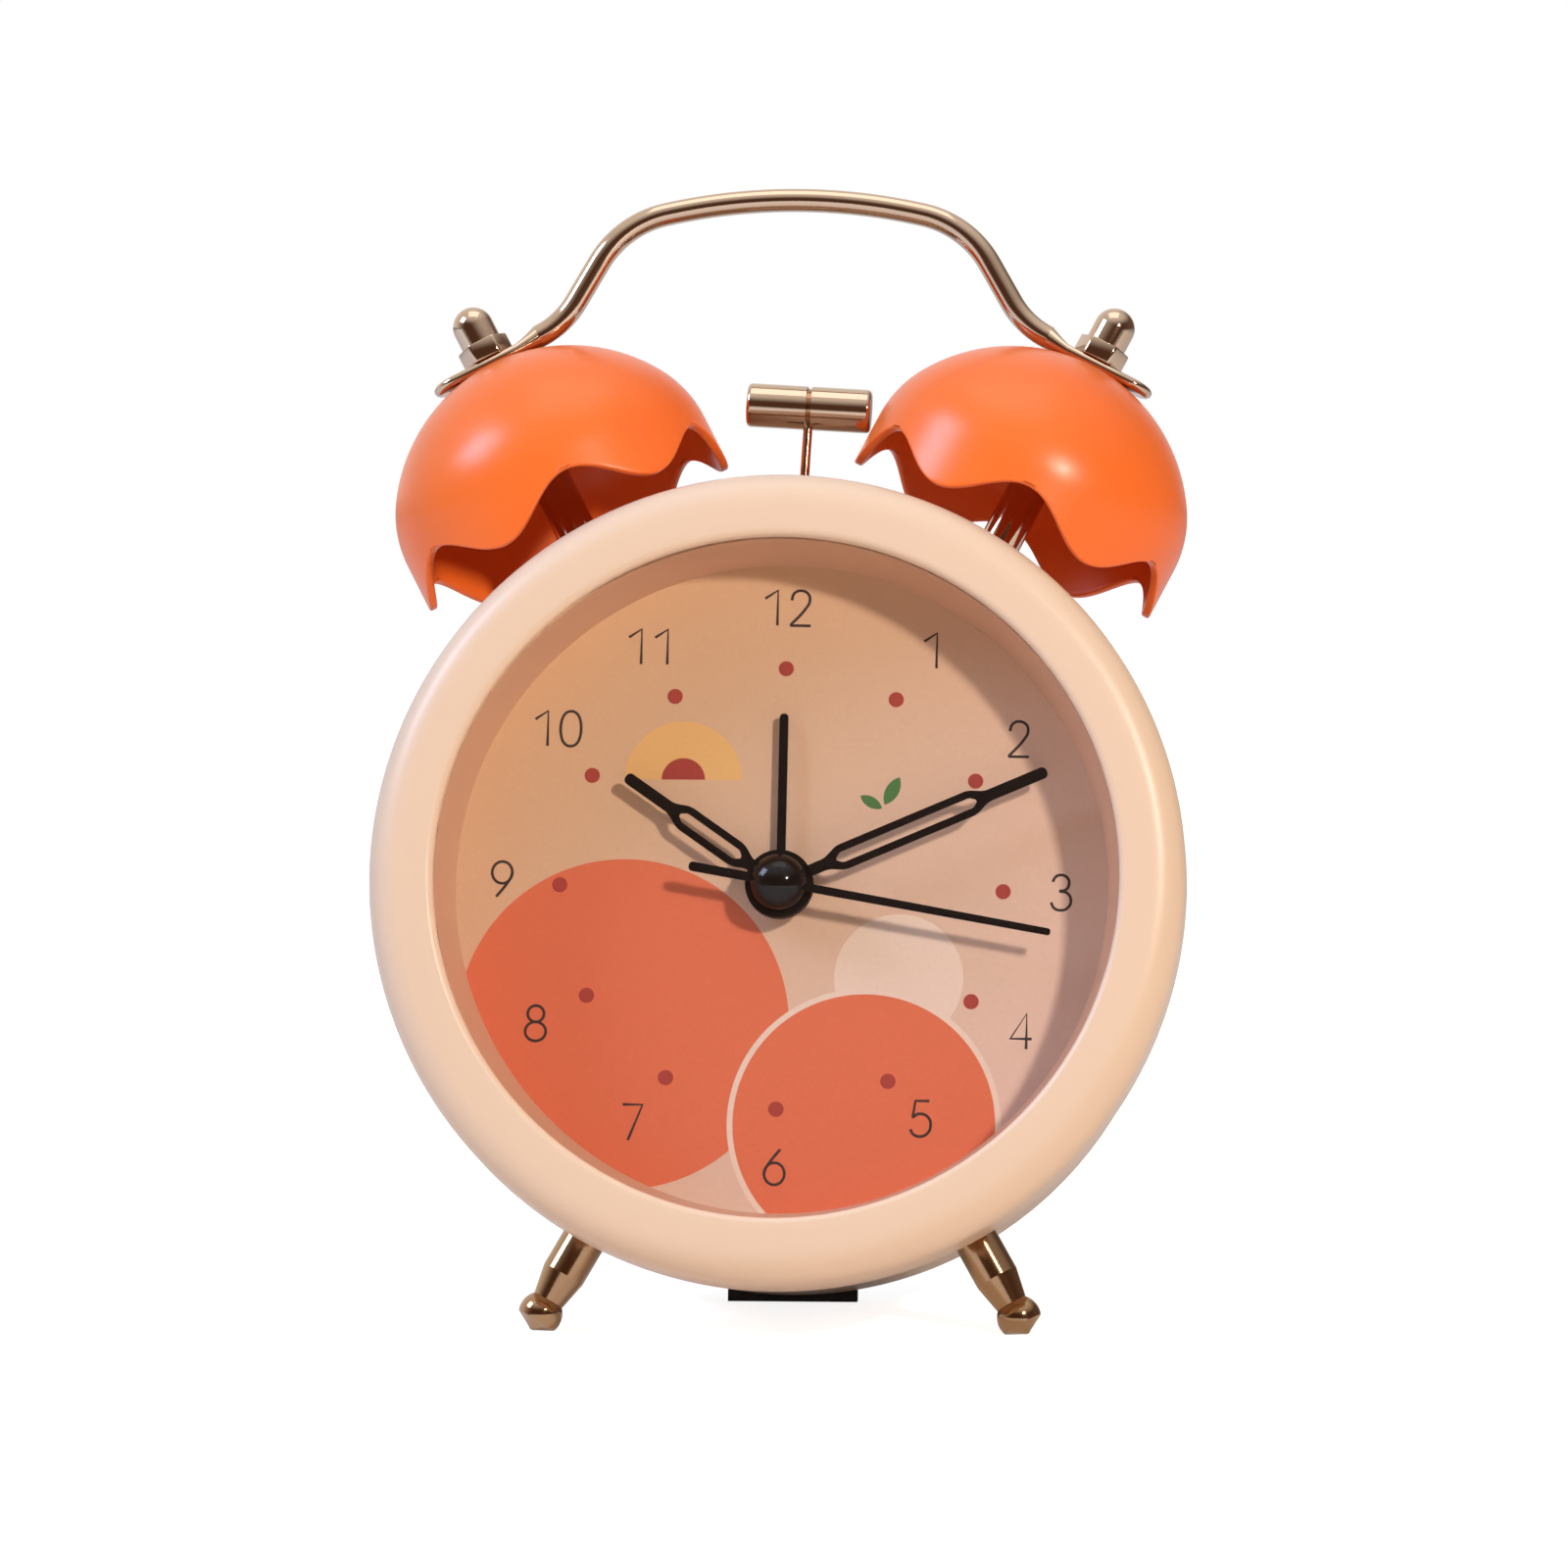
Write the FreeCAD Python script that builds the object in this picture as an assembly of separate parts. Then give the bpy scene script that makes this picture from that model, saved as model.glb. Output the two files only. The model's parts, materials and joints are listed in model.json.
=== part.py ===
"""Twin-bell desk alarm clock, as separate pieces.

Everything is modelled in the clock's own frame, in millimetres: the case axis is Y, with Y = 0 on the
bezel's front face and +Y towards the back cover, +X to the right and +Z up the dial. Pieces that stand
out of the case are built along Z and then swung out: the legs about the case axis, and the bells with
their posts and nuts about an aim line a little below it. At the end the whole clock is leaned back on
its two legs and its heel, and stood on Z = 0.
"""
import FreeCAD, Part
import math
import os

V = FreeCAD.Vector
ORIGIN = V(0, 0, 0)
AXIS_X = V(1, 0, 0)
AXIS_Y = V(0, 1, 0)
AXIS_Z = V(0, 0, 1)

# Fits
FIT = 0.04             # radial clearance of a part that turns or slides in another
GAP = 0.3              # clearance between parts that must not touch
SEAT = 0.02            # clearance between seated curved faces

# Bezel, case and lens
BEZEL_R = 42.75
BEZEL_OUT = 2.35       # how far the bezel stands out round the case
BEZEL_FACE = 6.9       # width of its front face, from the outside to the lip
BEZEL_DEPTH = 10.5
BEZEL_ROUND = 3.4      # outer front edge
BEZEL_SHOULDER = 4.0   # depth of the step that the case rim meets
LIP_R = BEZEL_R - BEZEL_FACE
LIP_THICK = 1.6
LIP_ROUND = 0.8
LIP_OVERLAP = 2.15     # how far the lip covers the lens
CASE_R = BEZEL_R - BEZEL_OUT
CASE_WALL = 0.8
CASE_FLANGE = 1.8      # inward rim that carries the back cover
CASE_RIM_ROUND = 1.2
CASE_LEDGE = 1.2       # inner ring that the movement plate seats on
LENS_THICK = 1.2

# Dial
DIAL_Y = 11.5          # front face of the dial
DIAL_THICK = 0.4
DIAL_SHADE = 1.45      # how far the dial ring stands in from the lip
DIAL_VIEW_R = LIP_R - DIAL_SHADE
DIAL_HOLE_R = 2.9

# Bells and their posts, with distances from the aim line
POST_ANGLE = 27.3      # swing of each bell from upright
AIM_DROP = 5.0         # the aim line lies this far below the case axis
STAND_Y = 20.0         # depth of the bells, handle and hammer
POST_R = 2.2
STUD_R = 1.5
BELL_R = 17.8
BELL_WALL = 0.9
BELL_CENTER = CASE_R + 14.54    # distance of the bell's widest circle
BELL_RISE = 15.25      # widest circle to the unflattened crown
BELL_SHOULDER_R = 12.0
BELL_SEAT = 0.35       # depth of the flat pressed in the crown
BELL_SEAT_WALL = 1.0
WAVE_COUNT = 6
WAVE_MEAN = BELL_CENTER - 3.75  # distance of the middle of the wave
WAVE_SIZE = 2.05       # half of the wave's height
WAVE_TURN = -24.0      # a lobe's angle from the front, towards +X

# Handle
WIRE_R = 1.25
TAB_THICK = 1.1
TAB_WIDTH = 5.0
TAB_OUT = 6.9          # tab's end, measured outwards from the stud
TAB_IN = 3.2           # start of the swage from tab to round wire
SWAGE = 2.6
WIRE_HEIGHT = 1.1      # wire's middle over the bell's flat where the swage ends
HANDLE_TOP = CASE_R + 35.25     # height of the wire's middle over the case axis
HANDLE_BOW_R = 62.0
HANDLE_SHOULDER_R = 11.0
HANDLE_ELBOW_R = 9.5
HANDLE_LEG_ANGLE = 60.5
HANDLE_ELBOW = 8.7     # elbow corner, measured inwards from the stud

# Cap nuts and inner nuts
NUT_ACROSS = 5.0
NUT_HEX = 2.1
NUT_DOME_R = 2.2
CAP_NUT_HEIGHT = 6.3
INNER_NUT_THICK = 1.8

# Legs
LEG_ANGLE = 29.6       # swing of each leg from straight down
LEG_Y = 18.5
LEG_R = 2.35
LEG_STRAIGHT = 6.0
LEG_NECK_R = 1.7
LEG_NECK = 9.2         # neck's distance below the case
LEG_BALL_R = 2.35
LEG_BALL = 10.75       # ball centre's distance below the case
LEG_LENGTH = 12.75     # leg's tip below the case
LEG_TIP_R = 0.8
LEG_STUD_R = 1.25

# Back cover, knobs and switch
COVER_STEP = 1.4       # how far the cover stays inside the case
COVER_R = CASE_R - COVER_STEP
COVER_THICK = 1.6
HEEL_DROP = 0.45       # heel's middle below the case's radius
HEEL_WIDTH = 14.0
KNOB_R = 4.5
KNOB_LENGTH = 6.6
KNOB_FLUTES = 12
KNOB_FLUTE_R = 0.5
SWITCH_Z = 28.0
SWITCH_TRAVEL = 3.5
SCREW_HEAD_R = 2.2
SCREW_R = 1.2
PILLAR_R = 2.5
PILLAR_REACH = COVER_R - 6.0     # distance of the lowest pillar from the axis
PILLARS = ((-20.0, 23.0), (20.0, 23.0), (0.0, -PILLAR_REACH))

# Battery bay
CELL_R = 7.1 * CASE_R / 40.4    # the AA size in this case; a smaller case takes a smaller cell
CELL_LENGTH = 2 * (COVER_R - 14.5)
CELL_NUB_R = 2.7
CELL_NUB = 1.3
BAY_TOP = -9.1         # upper side of the bay's walls, below the knobs
BAY_WALL = 1.0
BAY_CLEAR = 0.4
BAY_Z = BAY_TOP - BAY_WALL - BAY_CLEAR - CELL_R
BAY_END = 0.5          # room behind each contact
CONTACT_THICK = 0.4
DOOR_GAP = 0.2

# Movement plates
PLATE_THICK = 1.2
BOX_LEFT = -26.0
BOX_RIGHT = 26.0
BOX_BOTTOM = -24.0
BOX_TOP = 13.0
BOX_WALL = 1.0
BOX_BACK = 23.4        # outer rear face of the movement cover
CELL_ROOM = 4.4        # walls, cover and clearances before and behind the cell
CASE_BACK = BOX_BACK + 2 * CELL_R + CELL_ROOM
BRIDGE_Y = 18.6
BRIDGE_THICK = 0.6

# Hands: distance of each front face from the bezel's front, and lengths from the centre
HAND_THICK = 0.3
SECOND_Y = 6.5
MINUTE_Y = 7.7
HOUR_Y = 8.9
ALARM_Y = 10.1
MINUTE_LENGTH = 30.5
HOUR_LENGTH = 20.0
ALARM_LENGTH = 18.4
ALARM_WIDTH = 0.95
SECOND_LENGTH = 29.0
SECOND_TAIL = 9.6
FRAME_WIDTH = 2.75
FRAME_SLOT = 1.15
FRAME_TAPER = 1.6
FRAME_END = 1.15        # metal left beyond each end of the slot
BAR_WIDTH = 1.25
MINUTE_FRAME = (5.4, 23.6)
HOUR_FRAME = (3.9, 14.0)
MINUTE_TURN = 66.7     # degrees clockwise from twelve
HOUR_TURN = 305.0
SECOND_TURN = 100.2
ALARM_TURN = 0.5
HUB_R = 3.6
CAP_R = 2.9
CAP_HEIGHT = 1.9

# Concentric arbors
ARBOR_R = 0.45
CANNON_R = 1.0
HOUR_TUBE_R = 1.7
ALARM_TUBE_R = 2.4
TUBE_FIT = 0.05

# Gear trains: teeth and modules
CANNON_TEETH = 12
MINUTE_WHEEL_TEETH = 36
MINUTE_PINION_TEETH = 10
HOUR_TEETH = 40
MOTION_CENTERS = 11.0
MOTION_ANGLE = 195.0
ALARM_TEETH = 36
ALARM_PINION_TEETH = 24
ALARM_CENTERS = 15.0
ALARM_ANGLE = -15.0
SECOND_PINION_TEETH = 8
THIRD_TEETH = 60
THIRD_PINION_TEETH = 8
CENTER_TEETH = 64
TRAIN_CENTERS = 10.2
TRAIN_ANGLE = -90.0
SECOND_TEETH = 40
STEP_PINION_TEETH = 8
STEP_TEETH = 36
ROTOR_TEETH = 6
STEP_MODULE = 0.3
STEP_ANGLE = 60.0
ROTOR_ANGLE = 20.0
ROTOR_R = 3.0

# Wheel levels in the movement (front face, rear face)
ALARM_LEVEL = (13.5, 14.3)
HOUR_LEVEL = (14.7, 15.5)
MINUTE_LEVEL = (16.0, 17.0)
CENTER_LEVEL = (17.5, 18.2)
THIRD_LEVEL = (19.3, 19.9)
SECOND_LEVEL = (20.3, 21.0)
STEP_LEVEL = (21.3, 21.9)

# Striker
HAMMER_PIVOT_Z = 20.0
HAMMER_REACH = CASE_R + 12.6 - HAMMER_PIVOT_Z    # pivot to hammer head's middle
HAMMER_REST = 3.2      # lean of the hammer towards the right bell
HAMMER_SWING = 3.7     # furthest lean to either side
HAMMER_HEAD_R = 2.35
HAMMER_CLEAR = 18.548  # from the hammer's end to the middle of a bell's widest circle, across the clock
HAMMER_HEAD_LENGTH = 2 * (BELL_CENTER * math.sin(math.radians(POST_ANGLE)) - HAMMER_CLEAR)
HAMMER_GROOVE = 0.5
HAMMER_WIRE_R = 0.5
PIVOT_R = 1.0
LEVER_R = 1.8
CRANK_DROP = 8.6       # pivot to crank axle
CRANK_THROW = 0.72
CRANK_RATIO = 12.0     # crank's turn for each degree of hammer
CRANK_PIN_R = 0.7
CRANK_TEETH = 22
MOTOR_TEETH = 12
CRANK_MODULE = 0.5
CRANK_LEVEL = (25.0, 26.8)
FORK_LEVEL = (27.6, 29.0)
FORK_CLEAR = 0.12
FRAME_LEVEL = (30.2, 31.2)
MOTOR_R = 6.0
MOTOR_ROOM = 1.8       # behind the motor, up to the back of the case
MOTOR_LENGTH = CASE_BACK - FRAME_LEVEL[1] - MOTOR_ROOM
MOTOR_BOSS_R = 2.5


# ---------------------------------------------------------------- basic solids

def block(x0, x1, y0, y1, z0, z1):
    return Part.makeBox(x1 - x0, y1 - y0, z1 - z0, V(x0, y0, z0))


def rod(x, z, y0, y1, r):
    """Cylinder along the clock's axis."""
    return Part.makeCylinder(r, y1 - y0, V(x, y0, z), AXIS_Y)


def tube(x, z, y0, y1, r_out, r_in):
    return rod(x, z, y0, y1, r_out).cut(rod(x, z, y0 - 1, y1 + 1, r_in))


def revolve(edges, axis):
    """Solid of revolution of a closed outline about the Y or Z axis."""
    return Part.Face(Part.Wire(edges)).revolve(ORIGIN, axis, 360)


def outline(items, point):
    """Edges of a closed outline. An item is (a, b), or (a, b, 'arc') for the middle of a round stretch."""
    edges = []
    start = 0
    count = len(items)
    while start < count:
        here = point(items[start])
        if len(items[(start + 1) % count]) == 3:
            middle = point(items[(start + 1) % count])
            end = point(items[(start + 2) % count])
            edges.append(Part.Arc(here, middle, end).toShape())
            start += 2
        else:
            edges.append(Part.makeLine(here, point(items[(start + 1) % count])))
            start += 1
    return edges


def turned_y(items):
    """Part turned about the clock's axis, from points (radius, y)."""
    return revolve(outline(items, lambda p: V(p[0], p[1], 0)), AXIS_Y)


def turned_z(items):
    """Part turned about Z, from points (radius, distance from the case axis)."""
    return revolve(outline(items, lambda p: V(p[0], 0, p[1])), AXIS_Z)


def round_corner(x, y, r, sx, sy):
    """Middle of a corner round whose corner is (x, y) and whose centre lies towards (sx, sy)."""
    k = r * (1 - math.sqrt(0.5))
    return (x + sx * k, y + sy * k, "arc")


def flat_plate(points, y0, y1):
    """Plate across the clock's axis, from points (x, z)."""
    wire = Part.makePolygon([V(x, y0, z) for x, z in points + points[:1]])
    return Part.Face(wire).extrude(V(0, y1 - y0, 0))


def hexagon(across, d0, d1):
    """Hexagonal prism along Z."""
    r = across / math.sqrt(3)
    ring = [V(r * math.cos(math.radians(60 * k)), r * math.sin(math.radians(60 * k)), d0) for k in range(7)]
    return Part.Face(Part.makePolygon(ring)).extrude(V(0, 0, d1 - d0))


def swung(shape, degrees, y, drop=0.0):
    """Copy of a part built along Z, swung about a line below the case axis and moved to its depth."""
    copy = shape.copy()
    copy.rotate(ORIGIN, AXIS_Y, degrees)
    copy.translate(V(0, y, -drop))
    return copy


def on_post(shape, side):
    """Copy of a part built along a bell's post, on the left (-1) or right (1) side."""
    return swung(shape, side * POST_ANGLE, STAND_Y, AIM_DROP)


def on_leg(shape, side):
    return swung(shape, side * (180 - LEG_ANGLE), LEG_Y)


def polar(r, degrees):
    """Point (x, z) at an angle from +X towards +Z."""
    a = math.radians(degrees)
    return (r * math.cos(a), r * math.sin(a))


# ---------------------------------------------------------------- standing on the table

def lean():
    """Lean-back in degrees: the table touches both round leg tips and the middle of the heel."""
    tip = CASE_R + LEG_LENGTH - LEG_TIP_R
    tip_y = LEG_Y
    tip_z = -tip * math.cos(math.radians(LEG_ANGLE))
    dy = CASE_BACK + COVER_THICK / 2 - tip_y
    dz = -(CASE_R + HEEL_DROP) - tip_z
    return math.degrees(math.atan2(dz, dy) + math.asin(LEG_TIP_R / math.hypot(dy, dz)))


def standing():
    """Placement from the clock's frame to the part's frame, whose origin is at the middle of the base."""
    t = math.radians(lean())
    tip = CASE_R + LEG_LENGTH - LEG_TIP_R
    table = -LEG_Y * math.sin(t) - tip * math.cos(math.radians(LEG_ANGLE)) * math.cos(t) - LEG_TIP_R
    front = BEZEL_ROUND * math.cos(t) - (BEZEL_R - BEZEL_ROUND) * math.sin(t) - BEZEL_ROUND
    knob_z = polar(MOTION_CENTERS, MOTION_ANGLE)[1]
    edge = COVER_THICK / 2
    back = max(
        (cover_back() + KNOB_LENGTH) * math.cos(t) + (knob_z + KNOB_R) * math.sin(t),
        (cover_back() - edge) * math.cos(t) + (COVER_R - edge) * math.sin(t) + edge,
    )
    turn = FreeCAD.Rotation(AXIS_X, -math.degrees(t))
    return FreeCAD.Placement(V(0, -(front + back) / 2, -table), turn)


def table_z(y):
    """Height of the table under the clock's frame at a depth."""
    middle = CASE_BACK + COVER_THICK / 2
    return -(CASE_R + HEEL_DROP) + (y - middle) * math.tan(math.radians(lean()))


# ---------------------------------------------------------------- case and front

def front_bezel():
    bore = CASE_R + SEAT
    flat_in = LIP_R + LIP_ROUND
    flat_out = BEZEL_R - BEZEL_ROUND
    seat = LIP_R + LIP_OVERLAP
    return turned_y([
        (flat_in, 0),
        (flat_out, 0),
        round_corner(BEZEL_R, 0, BEZEL_ROUND, -1, 1),
        (BEZEL_R, BEZEL_ROUND),
        (BEZEL_R, BEZEL_DEPTH - 0.6),
        round_corner(BEZEL_R, BEZEL_DEPTH, 0.6, -1, -1),
        (BEZEL_R - 0.6, BEZEL_DEPTH),
        (bore, BEZEL_DEPTH),
        (bore, BEZEL_SHOULDER),
        (seat, BEZEL_SHOULDER),
        (seat, LIP_THICK),
        (LIP_R, LIP_THICK),
        (LIP_R, LIP_ROUND),
        round_corner(LIP_R, 0, LIP_ROUND, 1, 1),
    ])


def front_lens():
    return rod(0, 0, LIP_THICK, LIP_THICK + LENS_THICK, LIP_R + LIP_OVERLAP - SEAT)


def dial_ring():
    front = LIP_THICK + LENS_THICK
    outer = LIP_R + LIP_OVERLAP - SEAT
    return turned_y([(LIP_R, front), (outer, front), (outer, DIAL_Y), (DIAL_VIEW_R, DIAL_Y)])


def dial():
    return tube(0, 0, DIAL_Y, DIAL_Y + DIAL_THICK, LIP_R + LIP_OVERLAP - SEAT, DIAL_HOLE_R)


def plate_back():
    return DIAL_Y + DIAL_THICK + PLATE_THICK


def case_body():
    inner = CASE_R - CASE_WALL
    ledge = plate_back()
    shell = turned_y([
        (inner, BEZEL_SHOULDER),
        (CASE_R, BEZEL_SHOULDER),
        (CASE_R, CASE_BACK - CASE_RIM_ROUND),
        round_corner(CASE_R, CASE_BACK, CASE_RIM_ROUND, -1, -1),
        (CASE_R - CASE_RIM_ROUND, CASE_BACK),
        (inner - CASE_FLANGE, CASE_BACK),
        (inner - CASE_FLANGE, CASE_BACK - CASE_WALL),
        (inner, CASE_BACK - CASE_WALL),
        (inner, ledge + CASE_LEDGE),
        (inner - CASE_LEDGE, ledge + CASE_LEDGE),
        (inner - CASE_LEDGE, ledge),
        (inner, ledge),
    ])
    post_hole = Part.makeCylinder(STUD_R + 2 * FIT, 12, V(0, 0, CASE_R - 4))
    leg_hole = Part.makeCylinder(LEG_STUD_R + 2 * FIT, 8, V(0, 0, CASE_R - 4))
    for side in (-1, 1):
        shell = shell.cut(on_post(post_hole, side))
        shell = shell.cut(on_leg(leg_hole, side))
    return shell.cut(hammer_slot())


def hammer_slot():
    """Slot with round ends in the top of the case, as long as the hammer wire's swing needs."""
    height = CASE_R - HAMMER_PIVOT_Z
    half = height * math.tan(math.radians(HAMMER_SWING)) + HAMMER_WIRE_R + 2 * GAP
    r = HAMMER_WIRE_R + GAP
    slot = block(-half + r, half - r, STAND_Y - r, STAND_Y + r, HAMMER_PIVOT_Z + LEVER_R, CASE_R + 1)
    for x in (-half + r, half - r):
        end = Part.makeCylinder(r, CASE_R + 1 - HAMMER_PIVOT_Z - LEVER_R,
                                V(x, STAND_Y, HAMMER_PIVOT_Z + LEVER_R))
        slot = slot.fuse(end)
    return slot


# ---------------------------------------------------------------- bells, posts, nuts, handle

def crown_r():
    """Radius of the bell's crown, tangent to its shoulder."""
    inset = BELL_R - BELL_SHOULDER_R
    return (inset ** 2 + BELL_RISE ** 2 - BELL_SHOULDER_R ** 2) / (2 * (BELL_RISE - BELL_SHOULDER_R))


def bell_top():
    """Distance of the flat on the bell's crown from the case axis."""
    return BELL_CENTER + BELL_RISE - BELL_SEAT


def dome_points(wall):
    """Half outline of the dome, from its flat to its widest circle, inside its outer face by a wall."""
    shoulder = BELL_SHOULDER_R - wall
    crown = crown_r() - wall
    crown_center = BELL_CENTER + BELL_RISE - crown_r()
    shoulder_x = BELL_R - BELL_SHOULDER_R
    slope = math.atan2(BELL_CENTER - crown_center, shoulder_x)
    flat = bell_top() - (BELL_SEAT_WALL if wall else 0)
    flat_angle = math.asin((flat - crown_center) / crown)

    def on_crown(angle):
        return (crown * math.cos(angle), crown_center + crown * math.sin(angle))

    def on_shoulder(angle):
        return (shoulder_x + shoulder * math.cos(angle), BELL_CENTER + shoulder * math.sin(angle))

    return [
        on_crown(flat_angle),
        on_crown((flat_angle + slope) / 2) + ("arc",),
        on_crown(slope),
        on_shoulder(slope / 2) + ("arc",),
        on_shoulder(0),
    ]


def wave_edge(r):
    """Closed smooth edge of the bell's rim at a radius."""
    points = []
    steps = WAVE_COUNT * 8
    for k in range(steps):
        turn = 2 * math.pi * k / steps
        height = WAVE_MEAN - WAVE_SIZE * math.cos(WAVE_COUNT * turn)
        around = turn + math.radians(WAVE_TURN)
        points.append(V(r * math.sin(around), -r * math.cos(around), height))
    curve = Part.BSplineCurve()
    curve.interpolate(points, PeriodicFlag=True)
    return curve.toShape()


def bell():
    skirt = WAVE_MEAN - WAVE_SIZE - 0.5
    inside = list(reversed(dome_points(BELL_WALL)))
    shell = turned_z(
        [(STUD_R + 2 * FIT, bell_top())] + dome_points(0)
        + [(BELL_R, skirt), (BELL_R - BELL_WALL, skirt)] + inside
        + [(STUD_R + 2 * FIT, bell_top() - BELL_SEAT_WALL)]
    )
    waves = Part.makeRuledSurface(wave_edge(BELL_R / 2), wave_edge(BELL_R + 2))
    return shell.cut(waves.extrude(V(0, 0, -3 * WAVE_SIZE)))


def bell_post(side):
    """Turned post with a stud at each end. Its foot is hollowed to sit on the round case."""
    shoulder = bell_top() - BELL_SEAT_WALL
    stud_low = post_nut_top() - INNER_NUT_THICK - 1.2
    stud_top = bell_top() + TAB_THICK + CAP_NUT_HEIGHT - NUT_DOME_R
    barrel = on_post(Part.makeCylinder(POST_R, shoulder - CASE_R, V(0, 0, CASE_R)), side)
    barrel = barrel.cut(rod(0, 0, STAND_Y - 2 * POST_R, STAND_Y + 2 * POST_R, CASE_R + SEAT))
    return barrel.fuse(on_post(Part.makeCylinder(STUD_R, stud_top - stud_low, V(0, 0, stud_low)), side))


def post_nut_top():
    """Distance from the aim line at which a flat nut meets the inside of the case."""
    offset = AIM_DROP * math.sin(math.radians(POST_ANGLE))
    rise = AIM_DROP * math.cos(math.radians(POST_ANGLE))
    reach = NUT_ACROSS / math.sqrt(3)
    return rise + math.sqrt((CASE_R - CASE_WALL) ** 2 - (offset + reach) ** 2) - SEAT


def leg_nut_top():
    reach = NUT_ACROSS / math.sqrt(3)
    return math.sqrt((CASE_R - CASE_WALL) ** 2 - reach ** 2) - SEAT


def cap_nut():
    """Acorn nut over the stud: hexagon with chamfered corners and a domed end."""
    seat = bell_top() + TAB_THICK
    top = seat + CAP_NUT_HEIGHT
    corner = NUT_ACROSS / math.sqrt(3)
    hexed = hexagon(NUT_ACROSS, seat, top)
    turning = turned_z([
        (0, seat),
        (NUT_ACROSS / 2, seat),
        (corner, seat + 0.3),
        (corner, seat + NUT_HEX - 0.3),
        (NUT_ACROSS / 2 - 0.1, seat + NUT_HEX),
        (NUT_DOME_R, seat + NUT_HEX),
        (NUT_DOME_R, top - NUT_DOME_R),
        (NUT_DOME_R * math.sqrt(0.5), top - NUT_DOME_R * (1 - math.sqrt(0.5)), "arc"),
        (0, top),
    ])
    bore = Part.makeCylinder(STUD_R + SEAT, CAP_NUT_HEIGHT - NUT_DOME_R + 0.2, V(0, 0, seat))
    return turning.common(hexed).cut(bore)


def inner_nut(hole_r, top):
    """Plain nut inside the case wall, on a stud of a post or leg."""
    nut = hexagon(NUT_ACROSS, top - INNER_NUT_THICK, top)
    return nut.cut(Part.makeCylinder(hole_r + SEAT, 2 * INNER_NUT_THICK, V(0, 0, top - 1.5 * INNER_NUT_THICK)))


def tab_frame(across, height):
    """Point (x, z) of the right side: across outwards from the stud, height from the bell's flat."""
    a = math.radians(POST_ANGLE)
    d = bell_top() + height
    return (d * math.sin(a) + across * math.cos(a), d * math.cos(a) - across * math.sin(a) - AIM_DROP)


def handle_path():
    """Right half of the wire's middle line: elbow and shoulder arcs between straight runs and the bow."""
    tab = math.radians(POST_ANGLE)
    leg = math.radians(HANDLE_LEG_ANGLE)
    start = tab_frame(-TAB_IN - SWAGE, WIRE_HEIGHT)
    corner = tab_frame(-HANDLE_ELBOW, WIRE_HEIGHT)
    along_tab = (-math.cos(tab), math.sin(tab))
    along_leg = (-math.cos(leg), math.sin(leg))
    cut = HANDLE_ELBOW_R * math.tan((leg - tab) / 2)
    elbow_in = (corner[0] - cut * along_tab[0], corner[1] - cut * along_tab[1])
    elbow_out = (corner[0] + cut * along_leg[0], corner[1] + cut * along_leg[1])
    elbow_center = (elbow_in[0] + HANDLE_ELBOW_R * math.sin(tab), elbow_in[1] + HANDLE_ELBOW_R * math.cos(tab))
    middle = math.radians((POST_ANGLE + HANDLE_LEG_ANGLE) / 2)
    elbow_mid = (elbow_center[0] - HANDLE_ELBOW_R * math.sin(middle),
                 elbow_center[1] - HANDLE_ELBOW_R * math.cos(middle))
    bow_z = HANDLE_TOP - HANDLE_BOW_R
    base = (elbow_out[0] - HANDLE_SHOULDER_R * math.sin(leg),
            elbow_out[1] - HANDLE_SHOULDER_R * math.cos(leg) - bow_z)
    half = base[0] * along_leg[0] + base[1] * along_leg[1]
    rest = base[0] ** 2 + base[1] ** 2 - (HANDLE_BOW_R - HANDLE_SHOULDER_R) ** 2
    run = -half + math.sqrt(half ** 2 - rest)
    shoulder = (base[0] + run * along_leg[0], base[1] + run * along_leg[1] + bow_z)
    shoulder_in = (elbow_out[0] + run * along_leg[0], elbow_out[1] + run * along_leg[1])
    tilt = math.atan2(shoulder[0], shoulder[1] - bow_z)
    mid_turn = (tilt + leg) / 2
    shoulder_mid = (shoulder[0] + HANDLE_SHOULDER_R * math.sin(mid_turn),
                    shoulder[1] + HANDLE_SHOULDER_R * math.cos(mid_turn))
    shoulder_out = (shoulder[0] + HANDLE_SHOULDER_R * math.sin(tilt),
                    shoulder[1] + HANDLE_SHOULDER_R * math.cos(tilt))
    return start, elbow_in, elbow_mid, elbow_out, shoulder_in, shoulder_mid, shoulder_out


def round_wire(edge):
    """Round wire along a straight or arc-shaped middle line."""
    start = edge.valueAt(edge.FirstParameter)
    along = edge.tangentAt(edge.FirstParameter)
    ring = Part.Face(Part.Wire(Part.makeCircle(WIRE_R, start, along)))
    if isinstance(edge.Curve, Part.Line):
        return ring.extrude(along * edge.Length)
    turn = math.degrees(edge.Length / edge.Curve.Radius)
    return ring.revolve(edge.Curve.Center, (start - edge.Curve.Center).cross(along), turn)


def handle():
    def at(p, side=1):
        return V(side * p[0], STAND_Y, p[1])

    start, elbow_in, elbow_mid, elbow_out, leg_top, mid, bow_end = handle_path()

    def half(side):
        return [
            Part.makeLine(at(start, side), at(elbow_in, side)),
            Part.Arc(at(elbow_in, side), at(elbow_mid, side), at(elbow_out, side)).toShape(),
            Part.makeLine(at(elbow_out, side), at(leg_top, side)),
            Part.Arc(at(leg_top, side), at(mid, side), at(bow_end, side)).toShape(),
        ]

    bow = Part.Arc(at(bow_end), V(0, STAND_Y, HANDLE_TOP), at(bow_end, -1)).toShape()
    runs = [round_wire(edge) for edge in half(1) + half(-1) + [bow]]
    right = on_post(handle_tab(), 1)
    left = right.mirror(ORIGIN, AXIS_X)
    return right.fuse(runs + [left])


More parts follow.
